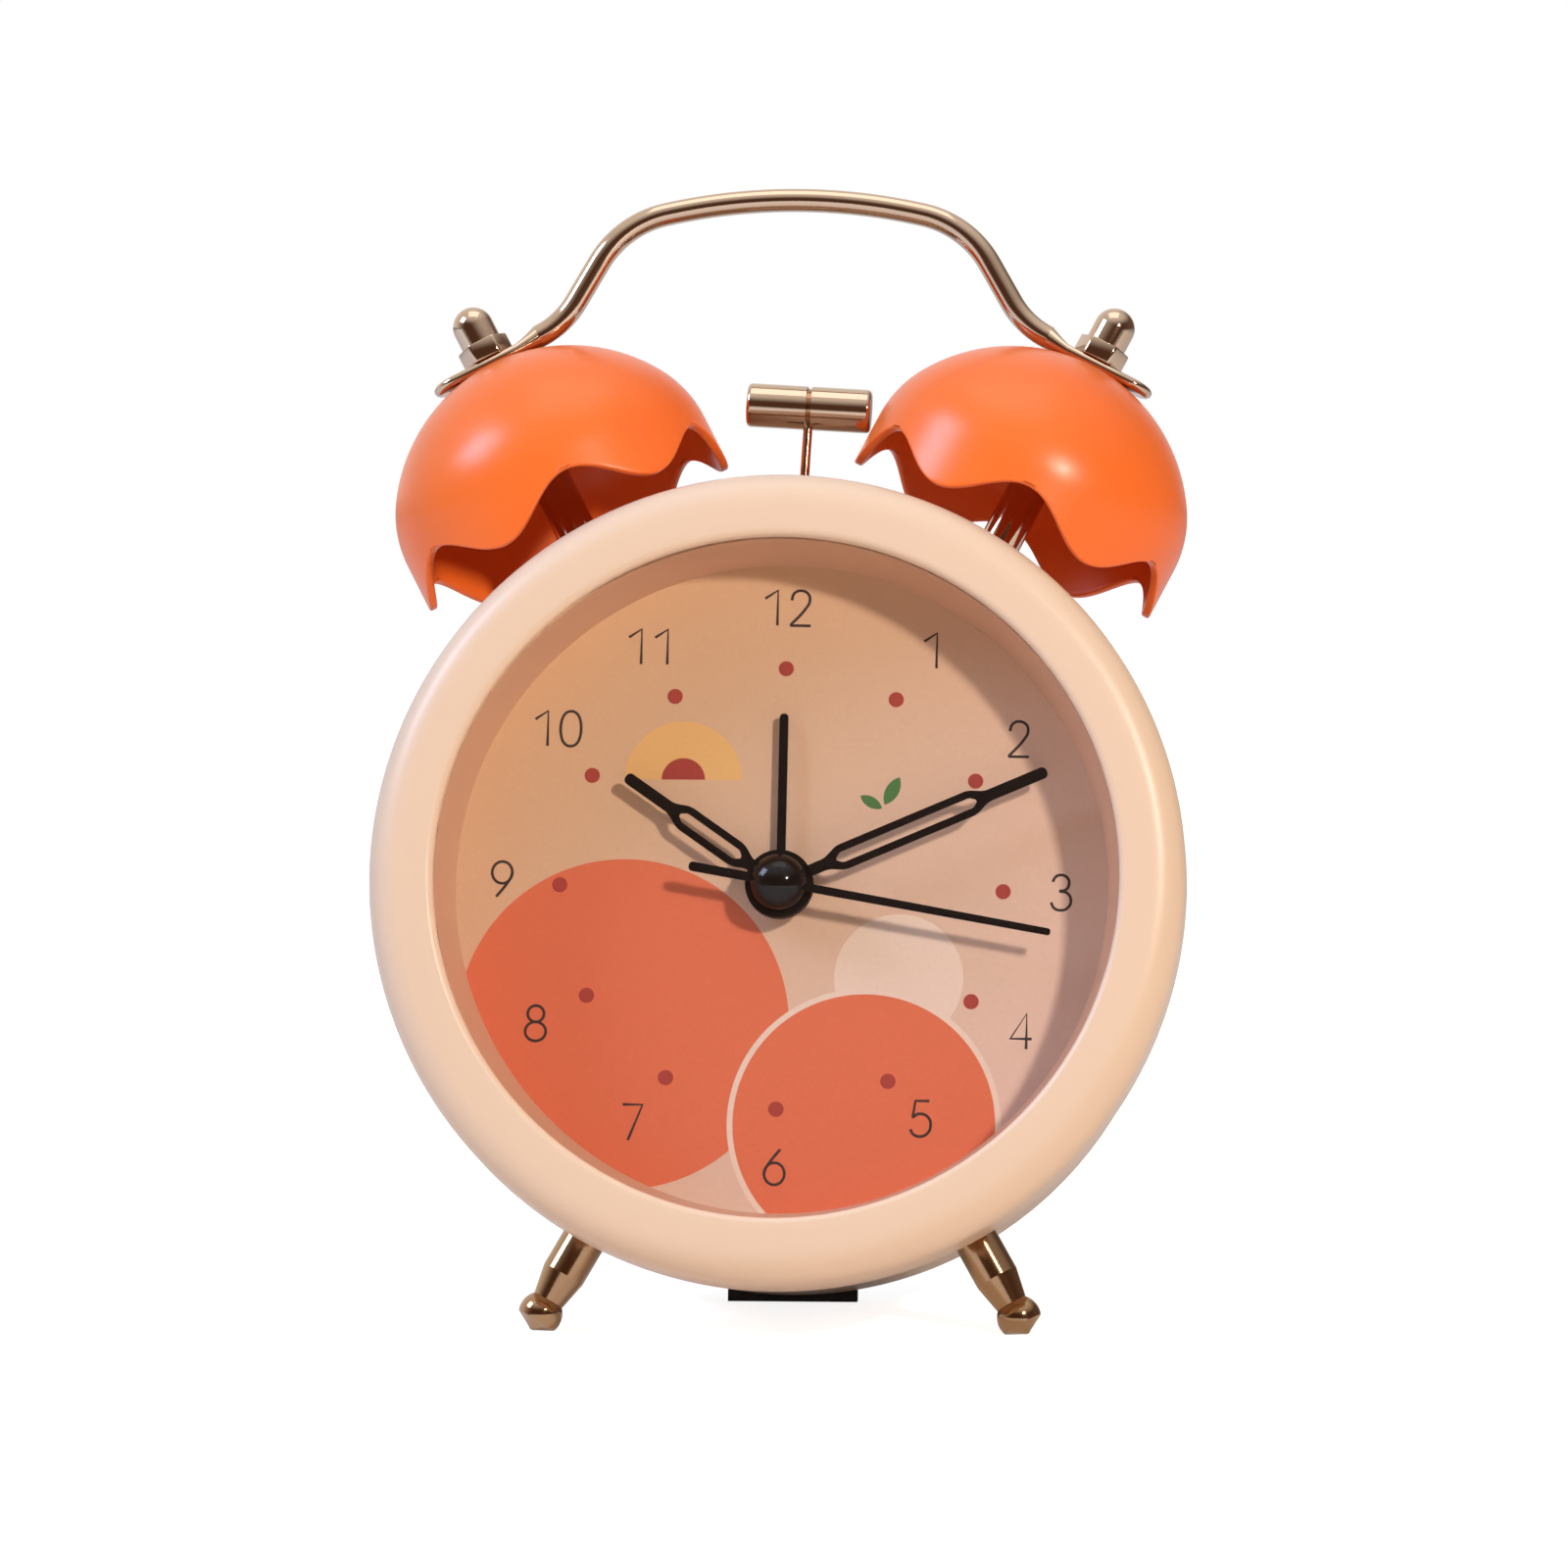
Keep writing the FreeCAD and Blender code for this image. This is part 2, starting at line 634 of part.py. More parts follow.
def handle_tab():
    """Flattened end of the wire with its eye and the swage, built along Z over the bell's flat."""
    low = bell_top()
    high = low + TAB_THICK
    half = TAB_WIDTH / 2
    tab = block(-TAB_IN, TAB_OUT - half, -half, half, low, high)
    tab = tab.fuse(Part.makeCylinder(half, TAB_THICK, V(TAB_OUT - half, 0, low)))
    tab = tab.cut(Part.makeCylinder(STUD_R + 2 * FIT, TAB_THICK + 2, V(0, 0, low - 1)))
    side = TAB_THICK / 2
    k = WIRE_R * math.sqrt(0.5)
    flat_end = four_arcs(-TAB_IN, low + side, (half - side, side), (half, side))
    round_end = four_arcs(-TAB_IN - SWAGE, low + WIRE_HEIGHT, (k, k), (WIRE_R, WIRE_R))
    return tab.fuse(Part.makeLoft([flat_end, round_end], True, True))


def four_arcs(x, z, corner, reach):
    """Closed section across X with four corners, whose sides bulge to a reach across and up."""
    wide, tall = corner
    ring = [(wide, tall), (reach[0], 0), (wide, -tall), (0, -reach[1]),
            (-wide, -tall), (-reach[0], 0), (-wide, tall), (0, reach[1])]
    points = [V(x, a, z + b) for a, b in ring + ring[:1]]
    edges = []
    for k in range(0, 8, 2):
        if abs((points[k + 1] - points[k]).cross(points[k + 2] - points[k]).Length) < 1e-6:
            edges.append(Part.makeLine(points[k], points[k + 2]))
        else:
            edges.append(Part.Arc(points[k], points[k + 1], points[k + 2]).toShape())
    return Part.Wire(edges)


# ---------------------------------------------------------------- legs

def leg():
    """Turned leg with its stud: straight shank, tapered neck, ball and blunt conical tip.

    Distances along it are from the case axis.
    """
    ball = CASE_R + LEG_BALL
    tip = CASE_R + LEG_LENGTH
    neck = CASE_R + LEG_NECK
    joint = ball - math.sqrt(LEG_BALL_R ** 2 - LEG_NECK_R ** 2)
    low = math.radians(22)
    slope = math.radians(48)
    tip_center = tip - LEG_TIP_R
    return turned_z([
        (0, leg_nut_top() - INNER_NUT_THICK - 1.2),
        (LEG_STUD_R, leg_nut_top() - INNER_NUT_THICK - 1.2),
        (LEG_STUD_R, CASE_R),
        (LEG_R, CASE_R),
        (LEG_R, CASE_R + LEG_STRAIGHT),
        (LEG_NECK_R, neck),
        (LEG_NECK_R, joint),
        (LEG_BALL_R * math.cos(low / 2), ball - LEG_BALL_R * math.sin(low / 2), "arc"),
        (LEG_BALL_R * math.cos(low), ball + LEG_BALL_R * math.sin(low)),
        (LEG_TIP_R * math.sin(slope), tip_center + LEG_TIP_R * math.cos(slope)),
        (LEG_TIP_R * math.sin(slope / 2), tip_center + LEG_TIP_R * math.cos(slope / 2), "arc"),
        (0, tip),
    ])


# ---------------------------------------------------------------- back cover and what it carries

def bay_half():
    """Half length and half height inside the battery bay."""
    length = (CELL_LENGTH + CELL_NUB) / 2 + 2 * CONTACT_THICK + BAY_END
    return length, CELL_R + BAY_CLEAR


def cell_y():
    return CASE_BACK - COVER_THICK - GAP - CELL_R


def bay_floor():
    return cell_y() - CELL_R - BAY_CLEAR


def knob_places():
    return {
        "time": polar(MOTION_CENTERS, MOTION_ANGLE),
        "alarm": polar(ALARM_CENTERS, ALARM_ANGLE),
    }


def cover_back():
    return CASE_BACK + COVER_THICK


def back_cover():
    spigot = CASE_R - CASE_WALL - CASE_FLANGE - FIT
    edge = COVER_THICK / 2
    cover = turned_y([
        (0, CASE_BACK - CASE_WALL),
        (spigot, CASE_BACK - CASE_WALL),
        (spigot, CASE_BACK),
        (COVER_R, CASE_BACK),
        (COVER_R, cover_back() - edge),
        round_corner(COVER_R, cover_back(), edge, -1, -1),
        (COVER_R - edge, cover_back()),
        (0, cover_back()),
    ])
    heel_top = -COVER_R + 2
    heel = Part.makePolygon([
        V(-HEEL_WIDTH / 2, CASE_BACK, heel_top),
        V(-HEEL_WIDTH / 2, cover_back(), heel_top),
        V(-HEEL_WIDTH / 2, cover_back(), table_z(cover_back())),
        V(-HEEL_WIDTH / 2, CASE_BACK, table_z(CASE_BACK)),
        V(-HEEL_WIDTH / 2, CASE_BACK, heel_top),
    ])
    cover = cover.fuse(Part.Face(heel).extrude(V(HEEL_WIDTH, 0, 0)))
    cover = cover.fuse(battery_tray()).cut(battery_room())
    for x, z in knob_places().values():
        cover = cover.cut(rod(x, z, CASE_BACK - 5, cover_back() + 1, ARBOR_R + 1.0))
    for x, z in PILLARS:
        cover = cover.cut(rod(x, z, CASE_BACK - 5, cover_back() + 1, SCREW_R + 2 * FIT))
        cover = cover.cut(rod(x, z, CASE_BACK - CASE_WALL - 1, CASE_BACK, PILLAR_R + FIT))
    return cover.cut(switch_slot())


def battery_tray():
    length, half = bay_half()
    floor = bay_floor()
    tray = block(-length - BAY_WALL, length + BAY_WALL, floor - BAY_WALL, CASE_BACK,
                 BAY_Z - half - BAY_WALL, BAY_Z + half + BAY_WALL)
    long_edges = [e for e in tray.Edges if abs(e.tangentAt(e.FirstParameter).y) > 0.9]
    return tray.makeFillet(1.5, long_edges)


def battery_room():
    """Space cut in the cover for the cell, and the wider step that the door lies in."""
    length, half = bay_half()
    room = block(-length, length, bay_floor(), cover_back() + 1, BAY_Z - half, BAY_Z + half)
    step = block(-length - BAY_WALL / 2, length + BAY_WALL / 2, CASE_BACK, cover_back() + 1,
                 BAY_Z - half - BAY_WALL / 2, BAY_Z + half + BAY_WALL / 2)
    return room.fuse(step)


def battery_door():
    """Flush door with a finger ridge outside and two ribs that keep the cell down."""
    length, half = bay_half()
    wide = length + BAY_WALL / 2 - DOOR_GAP
    tall = half + BAY_WALL / 2 - DOOR_GAP
    door = block(-wide, wide, CASE_BACK, cover_back(), BAY_Z - tall, BAY_Z + tall)
    for x in (-length / 2, length / 2):
        rib = block(x - 0.6, x + 0.6, cell_y() + CELL_R - 2.0, CASE_BACK, BAY_Z - half + GAP, BAY_Z + half - GAP)
        rib = rib.cut(Part.makeCylinder(CELL_R + BAY_CLEAR / 2, 4, V(x - 2, cell_y(), BAY_Z), AXIS_X))
        door = door.fuse(rib)
    for k in range(-2, 3):
        z = BAY_Z + 1.4 * k
        ridge = block(-wide + 4, -wide + 10, cover_back() - 0.4, cover_back() + 0.5, z - 0.35, z + 0.35)
        door = door.fuse(ridge)
    return door


def battery_cell():
    """AA cell lying across the bay, its plus end to the right."""
    length = CELL_LENGTH / 2
    end = length - CELL_NUB / 2
    cell = turned_z([
        (0, -length - CELL_NUB / 2),
        (CELL_R - 0.8, -length - CELL_NUB / 2),
        (CELL_R, -length - CELL_NUB / 2 + 0.8),
        (CELL_R, end - 0.8),
        (CELL_R - 0.8, end),
        (CELL_NUB_R, end),
        (CELL_NUB_R, end + CELL_NUB),
        (0, end + CELL_NUB),
    ])
    cell.rotate(ORIGIN, AXIS_Y, 90)
    cell.translate(V(0, cell_y(), BAY_Z))
    return cell


def battery_contact_plus():
    length, half = bay_half()
    nub = (CELL_LENGTH + CELL_NUB) / 2
    wide = CELL_R - 1.5
    plate = block(length - CONTACT_THICK, length, cell_y() - wide, cell_y() + wide, BAY_Z - wide, BAY_Z + wide)
    dimple = Part.makeCone(CELL_NUB_R, CELL_NUB_R - 0.4, length - CONTACT_THICK - nub,
                           V(length - CONTACT_THICK, cell_y(), BAY_Z), V(-1, 0, 0))
    return plate.fuse(dimple)


def battery_contact_spring():
    """Leaf spring bent from strip: a back leg on the bay's end and a bowed front leg on the cell."""
    length, half = bay_half()
    cell_end = -(CELL_LENGTH + CELL_NUB) / 2
    wide = CELL_R - 2.5
    back = block(-length, -length + CONTACT_THICK, cell_y() - wide, cell_y() + wide, BAY_Z - wide, BAY_Z + wide)
    low = BAY_Z - wide
    high = BAY_Z + wide
    t = CONTACT_THICK
    bow = Part.makePolygon([
        V(-length, cell_y() - wide, low),
        V(-length + t, cell_y() - wide, low),
        V(cell_end, cell_y() - wide, BAY_Z),
        V(-length + 1.5 * t, cell_y() - wide, high),
        V(-length + 0.5 * t, cell_y() - wide, high),
        V(cell_end - t, cell_y() - wide, BAY_Z),
        V(-length, cell_y() - wide, low),
    ])
    return back.fuse(Part.Face(bow).extrude(V(0, 2 * wide, 0)))


def knob(place):
    """Fluted knob with a finger-wide face, on a round neck that fills the cover's hole."""
    x, z = knob_places()[place]
    face = cover_back() + 0.5
    end = cover_back() + KNOB_LENGTH
    body = rod(x, z, face, end, KNOB_R)
    body = body.makeFillet(0.8, [e for e in body.Edges if e.Closed and abs(e.CenterOfMass.y - end) < 0.01])
    for k in range(KNOB_FLUTES):
        fx, fz = polar(KNOB_R + KNOB_FLUTE_R * 0.3, 360 * k / KNOB_FLUTES)
        body = body.cut(rod(x + fx, z + fz, face - 1, end + 1, KNOB_FLUTE_R))
    neck = rod(x, z, CASE_BACK - CASE_WALL, face, ARBOR_R + 1.0 - FIT)
    return body.fuse(neck).cut(rod(x, z, CASE_BACK - 2, end - 1.5, ARBOR_R + 0.3))


def switch_slot():
    half = SWITCH_TRAVEL / 2
    return block(-half - 1.5, half + 1.5, CASE_BACK - CASE_WALL - 1, cover_back() + 1,
                 SWITCH_Z - 1.0 - FIT, SWITCH_Z + 1.0 + FIT)


def alarm_switch():
    """Slider: ribbed thumb pad outside, stem through the slot, and a foot inside. Rest is alarm off."""
    x = -SWITCH_TRAVEL / 2
    inner = CASE_BACK - CASE_WALL
    stem = block(x - 1.4, x + 1.4, inner - FIT, cover_back() + FIT, SWITCH_Z - 1.0, SWITCH_Z + 1.0)
    foot = block(x - 2.6, x + 2.6, inner - FIT - 1.0, inner - FIT, SWITCH_Z - 2.4, SWITCH_Z + 2.4)
    pad = block(x - 2.4, x + 2.4, cover_back() + FIT, cover_back() + 1.6, SWITCH_Z - 2.2, SWITCH_Z + 2.2)
    pad = pad.makeFillet(0.4, [e for e in pad.Edges if abs(e.tangentAt(e.FirstParameter).y) > 0.9])
    for k in (-1, 0, 1):
        pad = pad.cut(block(x + 1.3 * k - 0.3, x + 1.3 * k + 0.3, cover_back() + 1.2, cover_back() + 2,
                            SWITCH_Z - 3, SWITCH_Z + 3))
    return stem.fuse([foot, pad])


def cover_screws():
    screws = []
    for x, z in PILLARS:
        head = rod(x, z, cover_back(), cover_back() + 1.2, SCREW_HEAD_R)
        head = head.makeFillet(0.6, [e for e in head.Edges
                                     if e.Closed and e.CenterOfMass.y > cover_back() + 1.1])
        slot = block(x - 3, x + 3, cover_back() + 0.7, cover_back() + 2, z - 0.3, z + 0.3)
        cross = block(x - 0.3, x + 0.3, cover_back() + 0.7, cover_back() + 2, z - 1.4, z + 1.4)
        short = slot.common(rod(x, z, cover_back(), cover_back() + 2, 1.4))
        head = head.cut(short.fuse(cross))
        screws.append(head.fuse(rod(x, z, cover_back() - 8, cover_back() + 0.1, SCREW_R)))
    return Part.makeCompound(screws)


# ---------------------------------------------------------------- gears

def gear(place, teeth, pitch_r, level, toward, tooth):
    """Spur gear at (x, z). A tooth, or a gap if tooth is False, points towards the angle."""
    x, z = place
    module = 2 * pitch_r / teeth
    tip = pitch_r + 0.75 * module
    root = pitch_r - 0.95 * module
    step = 360.0 / teeth
    first = toward if tooth else toward + step / 2
    points = []
    for k in range(teeth):
        middle = first + k * step
        points.append(polar(root, middle - 0.31 * step))
        points.append(polar(tip, middle - 0.11 * step))
        points.append(polar(tip, middle + 0.11 * step))
        points.append(polar(root, middle + 0.31 * step))
    return flat_plate([(x + a, z + b) for a, b in points], level[0], level[1])


def pitch_radii(centers, first_teeth, second_teeth):
    share = centers / (first_teeth + second_teeth)
    return first_teeth * share, second_teeth * share


def holes(shape, place, r, y0, y1):
    return shape.cut(rod(place[0], place[1], y0 - 1, y1 + 1, r))


CENTER = (0.0, 0.0)


def motion_place():
    return polar(MOTION_CENTERS, MOTION_ANGLE)


def alarm_place():
    return polar(ALARM_CENTERS, ALARM_ANGLE)


def third_place():
    return polar(TRAIN_CENTERS, TRAIN_ANGLE)


def step_radii():
    """Pitch radii of second wheel, its driving pinion, the step wheel and the rotor pinion."""
    half = STEP_MODULE / 2
    return SECOND_TEETH * half, STEP_PINION_TEETH * half, STEP_TEETH * half, ROTOR_TEETH * half


def step_place():
    second, pinion, wheel, rotor_r = step_radii()
    return polar(second + pinion, STEP_ANGLE)


def rotor_place():
    second, pinion, wheel, rotor_r = step_radii()
    x, z = step_place()
    dx, dz = polar(wheel + rotor_r, ROTOR_ANGLE)
    return (x + dx, z + dz)


def cannon_pinion():
    """Tube that carries the minute hand, with the pinion of the motion work at its rear."""
    mine, other = pitch_radii(MOTION_CENTERS, CANNON_TEETH, MINUTE_WHEEL_TEETH)
    teeth = gear(CENTER, CANNON_TEETH, mine, MINUTE_LEVEL, MOTION_ANGLE, True)
    body = teeth.fuse(rod(0, 0, MINUTE_Y - 0.2, CENTER_LEVEL[1] + 0.2, CANNON_R))
    return holes(body, CENTER, ARBOR_R + TUBE_FIT, MINUTE_Y - 1, CENTER_LEVEL[1] + 1)


def minute_wheel():
    """Wheel and pinion of the motion work on one arbor, which runs back to the time-set knob."""
    cannon, mine = pitch_radii(MOTION_CENTERS, CANNON_TEETH, MINUTE_WHEEL_TEETH)
    pinion_r, hour = pitch_radii(MOTION_CENTERS, MINUTE_PINION_TEETH, HOUR_TEETH)
    place = motion_place()
    back = MOTION_ANGLE + 180
    wheel = gear(place, MINUTE_WHEEL_TEETH, mine, MINUTE_LEVEL, back, False)
    pinion = gear(place, MINUTE_PINION_TEETH, pinion_r, (HOUR_LEVEL[0] - 0.1, MINUTE_LEVEL[0]), back, True)
    end = cover_back() + KNOB_LENGTH - 1.5
    arbor = rod(place[0], place[1], plate_back() - PLATE_THICK + 0.2, end, ARBOR_R + 0.3)
    return wheel.fuse([pinion, arbor])


def hour_wheel():
    pinion_r, mine = pitch_radii(MOTION_CENTERS, MINUTE_PINION_TEETH, HOUR_TEETH)
    teeth = gear(CENTER, HOUR_TEETH, mine, HOUR_LEVEL, MOTION_ANGLE, False)
    body = teeth.fuse(rod(0, 0, HOUR_Y - 0.2, HOUR_LEVEL[1], HOUR_TUBE_R))
    return holes(body, CENTER, CANNON_R + TUBE_FIT, HOUR_Y - 1, HOUR_LEVEL[1] + 1)


def alarm_wheel():
    mine, other = pitch_radii(ALARM_CENTERS, ALARM_TEETH, ALARM_PINION_TEETH)
    teeth = gear(CENTER, ALARM_TEETH, mine, ALARM_LEVEL, ALARM_ANGLE, True)
    body = teeth.fuse(rod(0, 0, ALARM_Y - 0.2, ALARM_LEVEL[1], ALARM_TUBE_R))
    return holes(body, CENTER, HOUR_TUBE_R + TUBE_FIT, ALARM_Y - 1, ALARM_LEVEL[1] + 1)


def alarm_arbor():
    other, mine = pitch_radii(ALARM_CENTERS, ALARM_TEETH, ALARM_PINION_TEETH)
    place = alarm_place()
    teeth = gear(place, ALARM_PINION_TEETH, mine, ALARM_LEVEL, ALARM_ANGLE + 180, False)
    end = cover_back() + KNOB_LENGTH - 1.5
    return teeth.fuse(rod(place[0], place[1], plate_back() - PLATE_THICK + 0.2, end, ARBOR_R + 0.3))


def second_wheel():
    """Second arbor with its pinion and wheel, from the cover's pivot hole to the hand."""
    pinion_r, third = pitch_radii(TRAIN_CENTERS, SECOND_PINION_TEETH, THIRD_TEETH)
    pinion_level = (CENTER_LEVEL[1] + 0.6, SECOND_LEVEL[0])
    pinion = gear(CENTER, SECOND_PINION_TEETH, pinion_r, pinion_level, TRAIN_ANGLE, True)
    wheel = gear(CENTER, SECOND_TEETH, step_radii()[0], SECOND_LEVEL, STEP_ANGLE, False)
    arbor = rod(0, 0, SECOND_Y, BOX_BACK - BOX_WALL / 2, ARBOR_R)
    return wheel.fuse([pinion, arbor])


def third_wheel():
    second, mine = pitch_radii(TRAIN_CENTERS, SECOND_PINION_TEETH, THIRD_TEETH)
    pinion_r, center = pitch_radii(TRAIN_CENTERS, THIRD_PINION_TEETH, CENTER_TEETH)
    place = third_place()
    back = TRAIN_ANGLE + 180
    wheel = gear(place, THIRD_TEETH, mine, THIRD_LEVEL, back, False)
    pinion = gear(place, THIRD_PINION_TEETH, pinion_r, (CENTER_LEVEL[0] - 0.1, THIRD_LEVEL[0]), back, True)
    arbor = rod(place[0], place[1], plate_back() - PLATE_THICK + 0.2, BOX_BACK - BOX_WALL / 2, ARBOR_R)
    return wheel.fuse([pinion, arbor])


def center_wheel():
    """Wheel that drives the cannon pinion by a slipping collar."""
    pinion_r, mine = pitch_radii(TRAIN_CENTERS, THIRD_PINION_TEETH, CENTER_TEETH)
    teeth = gear(CENTER, CENTER_TEETH, mine, CENTER_LEVEL, TRAIN_ANGLE, False)
    return holes(teeth, CENTER, CANNON_R + FIT / 2, CENTER_LEVEL[0], CENTER_LEVEL[1])


def intermediate_wheel():
    second, pinion_r, wheel_r, rotor_r = step_radii()
    place = step_place()
    pinion_level = (SECOND_LEVEL[0] - 0.2, STEP_LEVEL[0])
    pinion = gear(place, STEP_PINION_TEETH, pinion_r, pinion_level, STEP_ANGLE + 180, True)
    wheel = gear(place, STEP_TEETH, wheel_r, STEP_LEVEL, ROTOR_ANGLE, False)
    arbor = rod(place[0], place[1], BRIDGE_Y + 0.1, BOX_BACK - BOX_WALL / 2, ARBOR_R)
    return wheel.fuse([pinion, arbor])


def rotor():
    second, pinion_r, wheel_r, mine = step_radii()
    place = rotor_place()
    pinion = gear(place, ROTOR_TEETH, mine, (STEP_LEVEL[0] - 0.2, STEP_LEVEL[1] + 0.2), ROTOR_ANGLE + 180, True)
    magnet = rod(place[0], place[1], BRIDGE_Y + BRIDGE_THICK + GAP, SECOND_LEVEL[0] + 0.3, ROTOR_R)
    arbor = rod(place[0], place[1], BRIDGE_Y + 0.1, BOX_BACK - BOX_WALL / 2, ARBOR_R)
    return pinion.fuse([magnet, arbor])


# ---------------------------------------------------------------- movement

def movement_plate():
    """Round plate behind the dial, with three pillars for the cover screws and the bridge's posts."""
    front = DIAL_Y + DIAL_THICK
    back = plate_back()
    plate = rod(0, 0, front, back, CASE_R - CASE_WALL - GAP)
    for x, z in PILLARS:
        plate = plate.fuse(rod(x, z, back - 0.1, CASE_BACK - CASE_WALL - 0.1, PILLAR_R))
        plate = plate.cut(rod(x, z, cover_back() - 9, CASE_BACK + 1, SCREW_R))
    for x, z in bridge_posts():
        plate = plate.fuse(rod(x, z, back - 0.1, BRIDGE_Y, 1.0))
    plate = holes(plate, CENTER, ALARM_TUBE_R + TUBE_FIT, front, back)
    for place, r in ((motion_place(), ARBOR_R + 0.3), (alarm_place(), ARBOR_R + 0.3), (third_place(), ARBOR_R)):
        plate = plate.cut(rod(place[0], place[1], front + 0.15, back + 1, r + FIT))
    return plate


def bridge_posts():
    """Posts between plate and bridge, outside the wheels around the centre."""
    return (polar(TRAIN_CENTERS + 0.7, 105.0), polar(TRAIN_CENTERS + 7.0, 35.0))


def train_bridge():
    """Small plate in the train that holds the front pivots of the rotor and its wheel."""
    (x0, z0), (x1, z1) = bridge_posts()
    y0 = BRIDGE_Y
    y1 = BRIDGE_Y + BRIDGE_THICK
    bridge = flat_plate([(x0 - 1.4, 2.2), (x1 + 1.4, 2.2), (x1 + 1.4, z1 + 1.4), (x0 - 1.4, z1 + 1.4)], y0, y1)
    for place in (step_place(), rotor_place()):
        bridge = bridge.cut(rod(place[0], place[1], y0 + 0.1, y1 + 1, ARBOR_R + FIT))
    return bridge


def movement_cover():
    """Tray that closes the movement from behind, with a pivot hole for each arbor."""
    front = plate_back()
    cover = block(BOX_LEFT, BOX_RIGHT, front, BOX_BACK, BOX_BOTTOM, BOX_TOP)
    upright = [e for e in cover.Edges if abs(e.tangentAt(e.FirstParameter).y) > 0.9]
    cover = cover.makeFillet(2.5, upright)
    cover = cover.common(rod(0, 0, front - 1, BOX_BACK + 1, CASE_R - CASE_WALL - CASE_LEDGE - GAP))
    room = block(BOX_LEFT + BOX_WALL, BOX_RIGHT - BOX_WALL, front - 1, BOX_BACK - BOX_WALL,
                 BOX_BOTTOM + BOX_WALL, BOX_TOP - BOX_WALL)
    upright = [e for e in room.Edges if abs(e.tangentAt(e.FirstParameter).y) > 0.9]
    cover = cover.cut(room.makeFillet(1.5, upright))
    for place in (CENTER, third_place(), step_place(), rotor_place()):
        cover = cover.cut(rod(place[0], place[1], BOX_BACK - BOX_WALL - 1, BOX_BACK - BOX_WALL / 2 + FIT,
                              ARBOR_R + FIT))
    for place in (motion_place(), alarm_place()):
        cover = cover.cut(rod(place[0], place[1], BOX_BACK - BOX_WALL - 1, BOX_BACK + 1, ARBOR_R + 0.3 + FIT))
    pin_z = HAMMER_PIVOT_Z - CRANK_DROP
    return cover.cut(rod(0, pin_z, BOX_BACK - 0.8, BOX_BACK + 1, PIVOT_R))


def stator():
    """Soft-iron plate that closes the coil's field round the rotor."""
    x, z = rotor_place()
    y0 = BRIDGE_Y + BRIDGE_THICK + GAP + 0.2
    y1 = SECOND_LEVEL[0] + 0.1
    right = BOX_RIGHT - BOX_WALL - GAP
    top = BOX_TOP - BOX_WALL - GAP
    plate = block(x, right - 0.6, y0, y1, z - 1.6, top)
    plate = plate.fuse(rod(x, z, y0, y1, ROTOR_R + 1.4).common(block(-right, right, y0, y1, -top, top)))
    lower = block(coil_x() - 1.5, right - 0.6, y0, y1, coil_z() - coil_half() - 2, z)
    plate = plate.fuse(lower)
    return plate.cut(rod(x, z, y0 - 1, y1 + 1, ROTOR_R + GAP))


def coil_x():
    return BOX_RIGHT - BOX_WALL - GAP - 4.0


def coil_z():
    return rotor_place()[1] - 8.0


def coil_half():
    return 5.5


def drive_coil():
    """Bobbin with two flanges and its winding, on the stator's leg."""
    y = (BRIDGE_Y + BRIDGE_THICK + GAP + 0.2 + SECOND_LEVEL[0] + 0.1) / 2
    x = (coil_x() - 2.1 + BOX_RIGHT - BOX_WALL - GAP) / 2
    z0 = coil_z() - coil_half()
    coil = Part.makeCylinder(2.7, 2 * coil_half() - 1.2, V(x, y, z0 + 0.6))
    for z in (z0, z0 + 2 * coil_half() - 0.6):
        coil = coil.fuse(block(x - 2.9, x + 2.9, y - 2.6, y + 2.1, z, z + 0.6))
    coil = coil.common(block(x - 2.9, x + 2.9, y - 3, y + 2.1, z0 - 1, z0 + 2 * coil_half() + 1))
    leg_hole = block(coil_x() - 1.5 - FIT, BOX_RIGHT - BOX_WALL - GAP - 0.6 + FIT,
                     BRIDGE_Y + BRIDGE_THICK + GAP + 0.2 - FIT, SECOND_LEVEL[0] + 0.1 + FIT,
                     z0 - 1, z0 + 2 * coil_half() + 1)
    return coil.cut(leg_hole)


def circuit_board():
    """Board in the lower left of the movement, with the sealed chip on it."""
    x0 = BOX_LEFT + BOX_WALL + 3 * GAP
    z0 = BOX_BOTTOM + BOX_WALL + 3 * GAP
    y1 = BOX_BACK - BOX_WALL
    board = block(x0, x0 + 13, y1 - 1.0, y1, z0, z0 + 17)
    chip = Part.makeSphere(3.2, V(x0 + 5, y1 + 1.0, z0 + 5)).common(block(x0, x0 + 12, y1 - 5, y1 - 0.9,
                                                                          z0, z0 + 12))
    return board.fuse(chip)


def quartz_crystal():
    x0 = BOX_LEFT + BOX_WALL + 3 * GAP
    z0 = BOX_BOTTOM + BOX_WALL + 3 * GAP
    y1 = BOX_BACK - BOX_WALL - 1.0
    return Part.makeCylinder(1.0, 6.0, V(x0 + 10.0, y1 - 1.0, z0 + 9.0))


# ---------------------------------------------------------------- hands

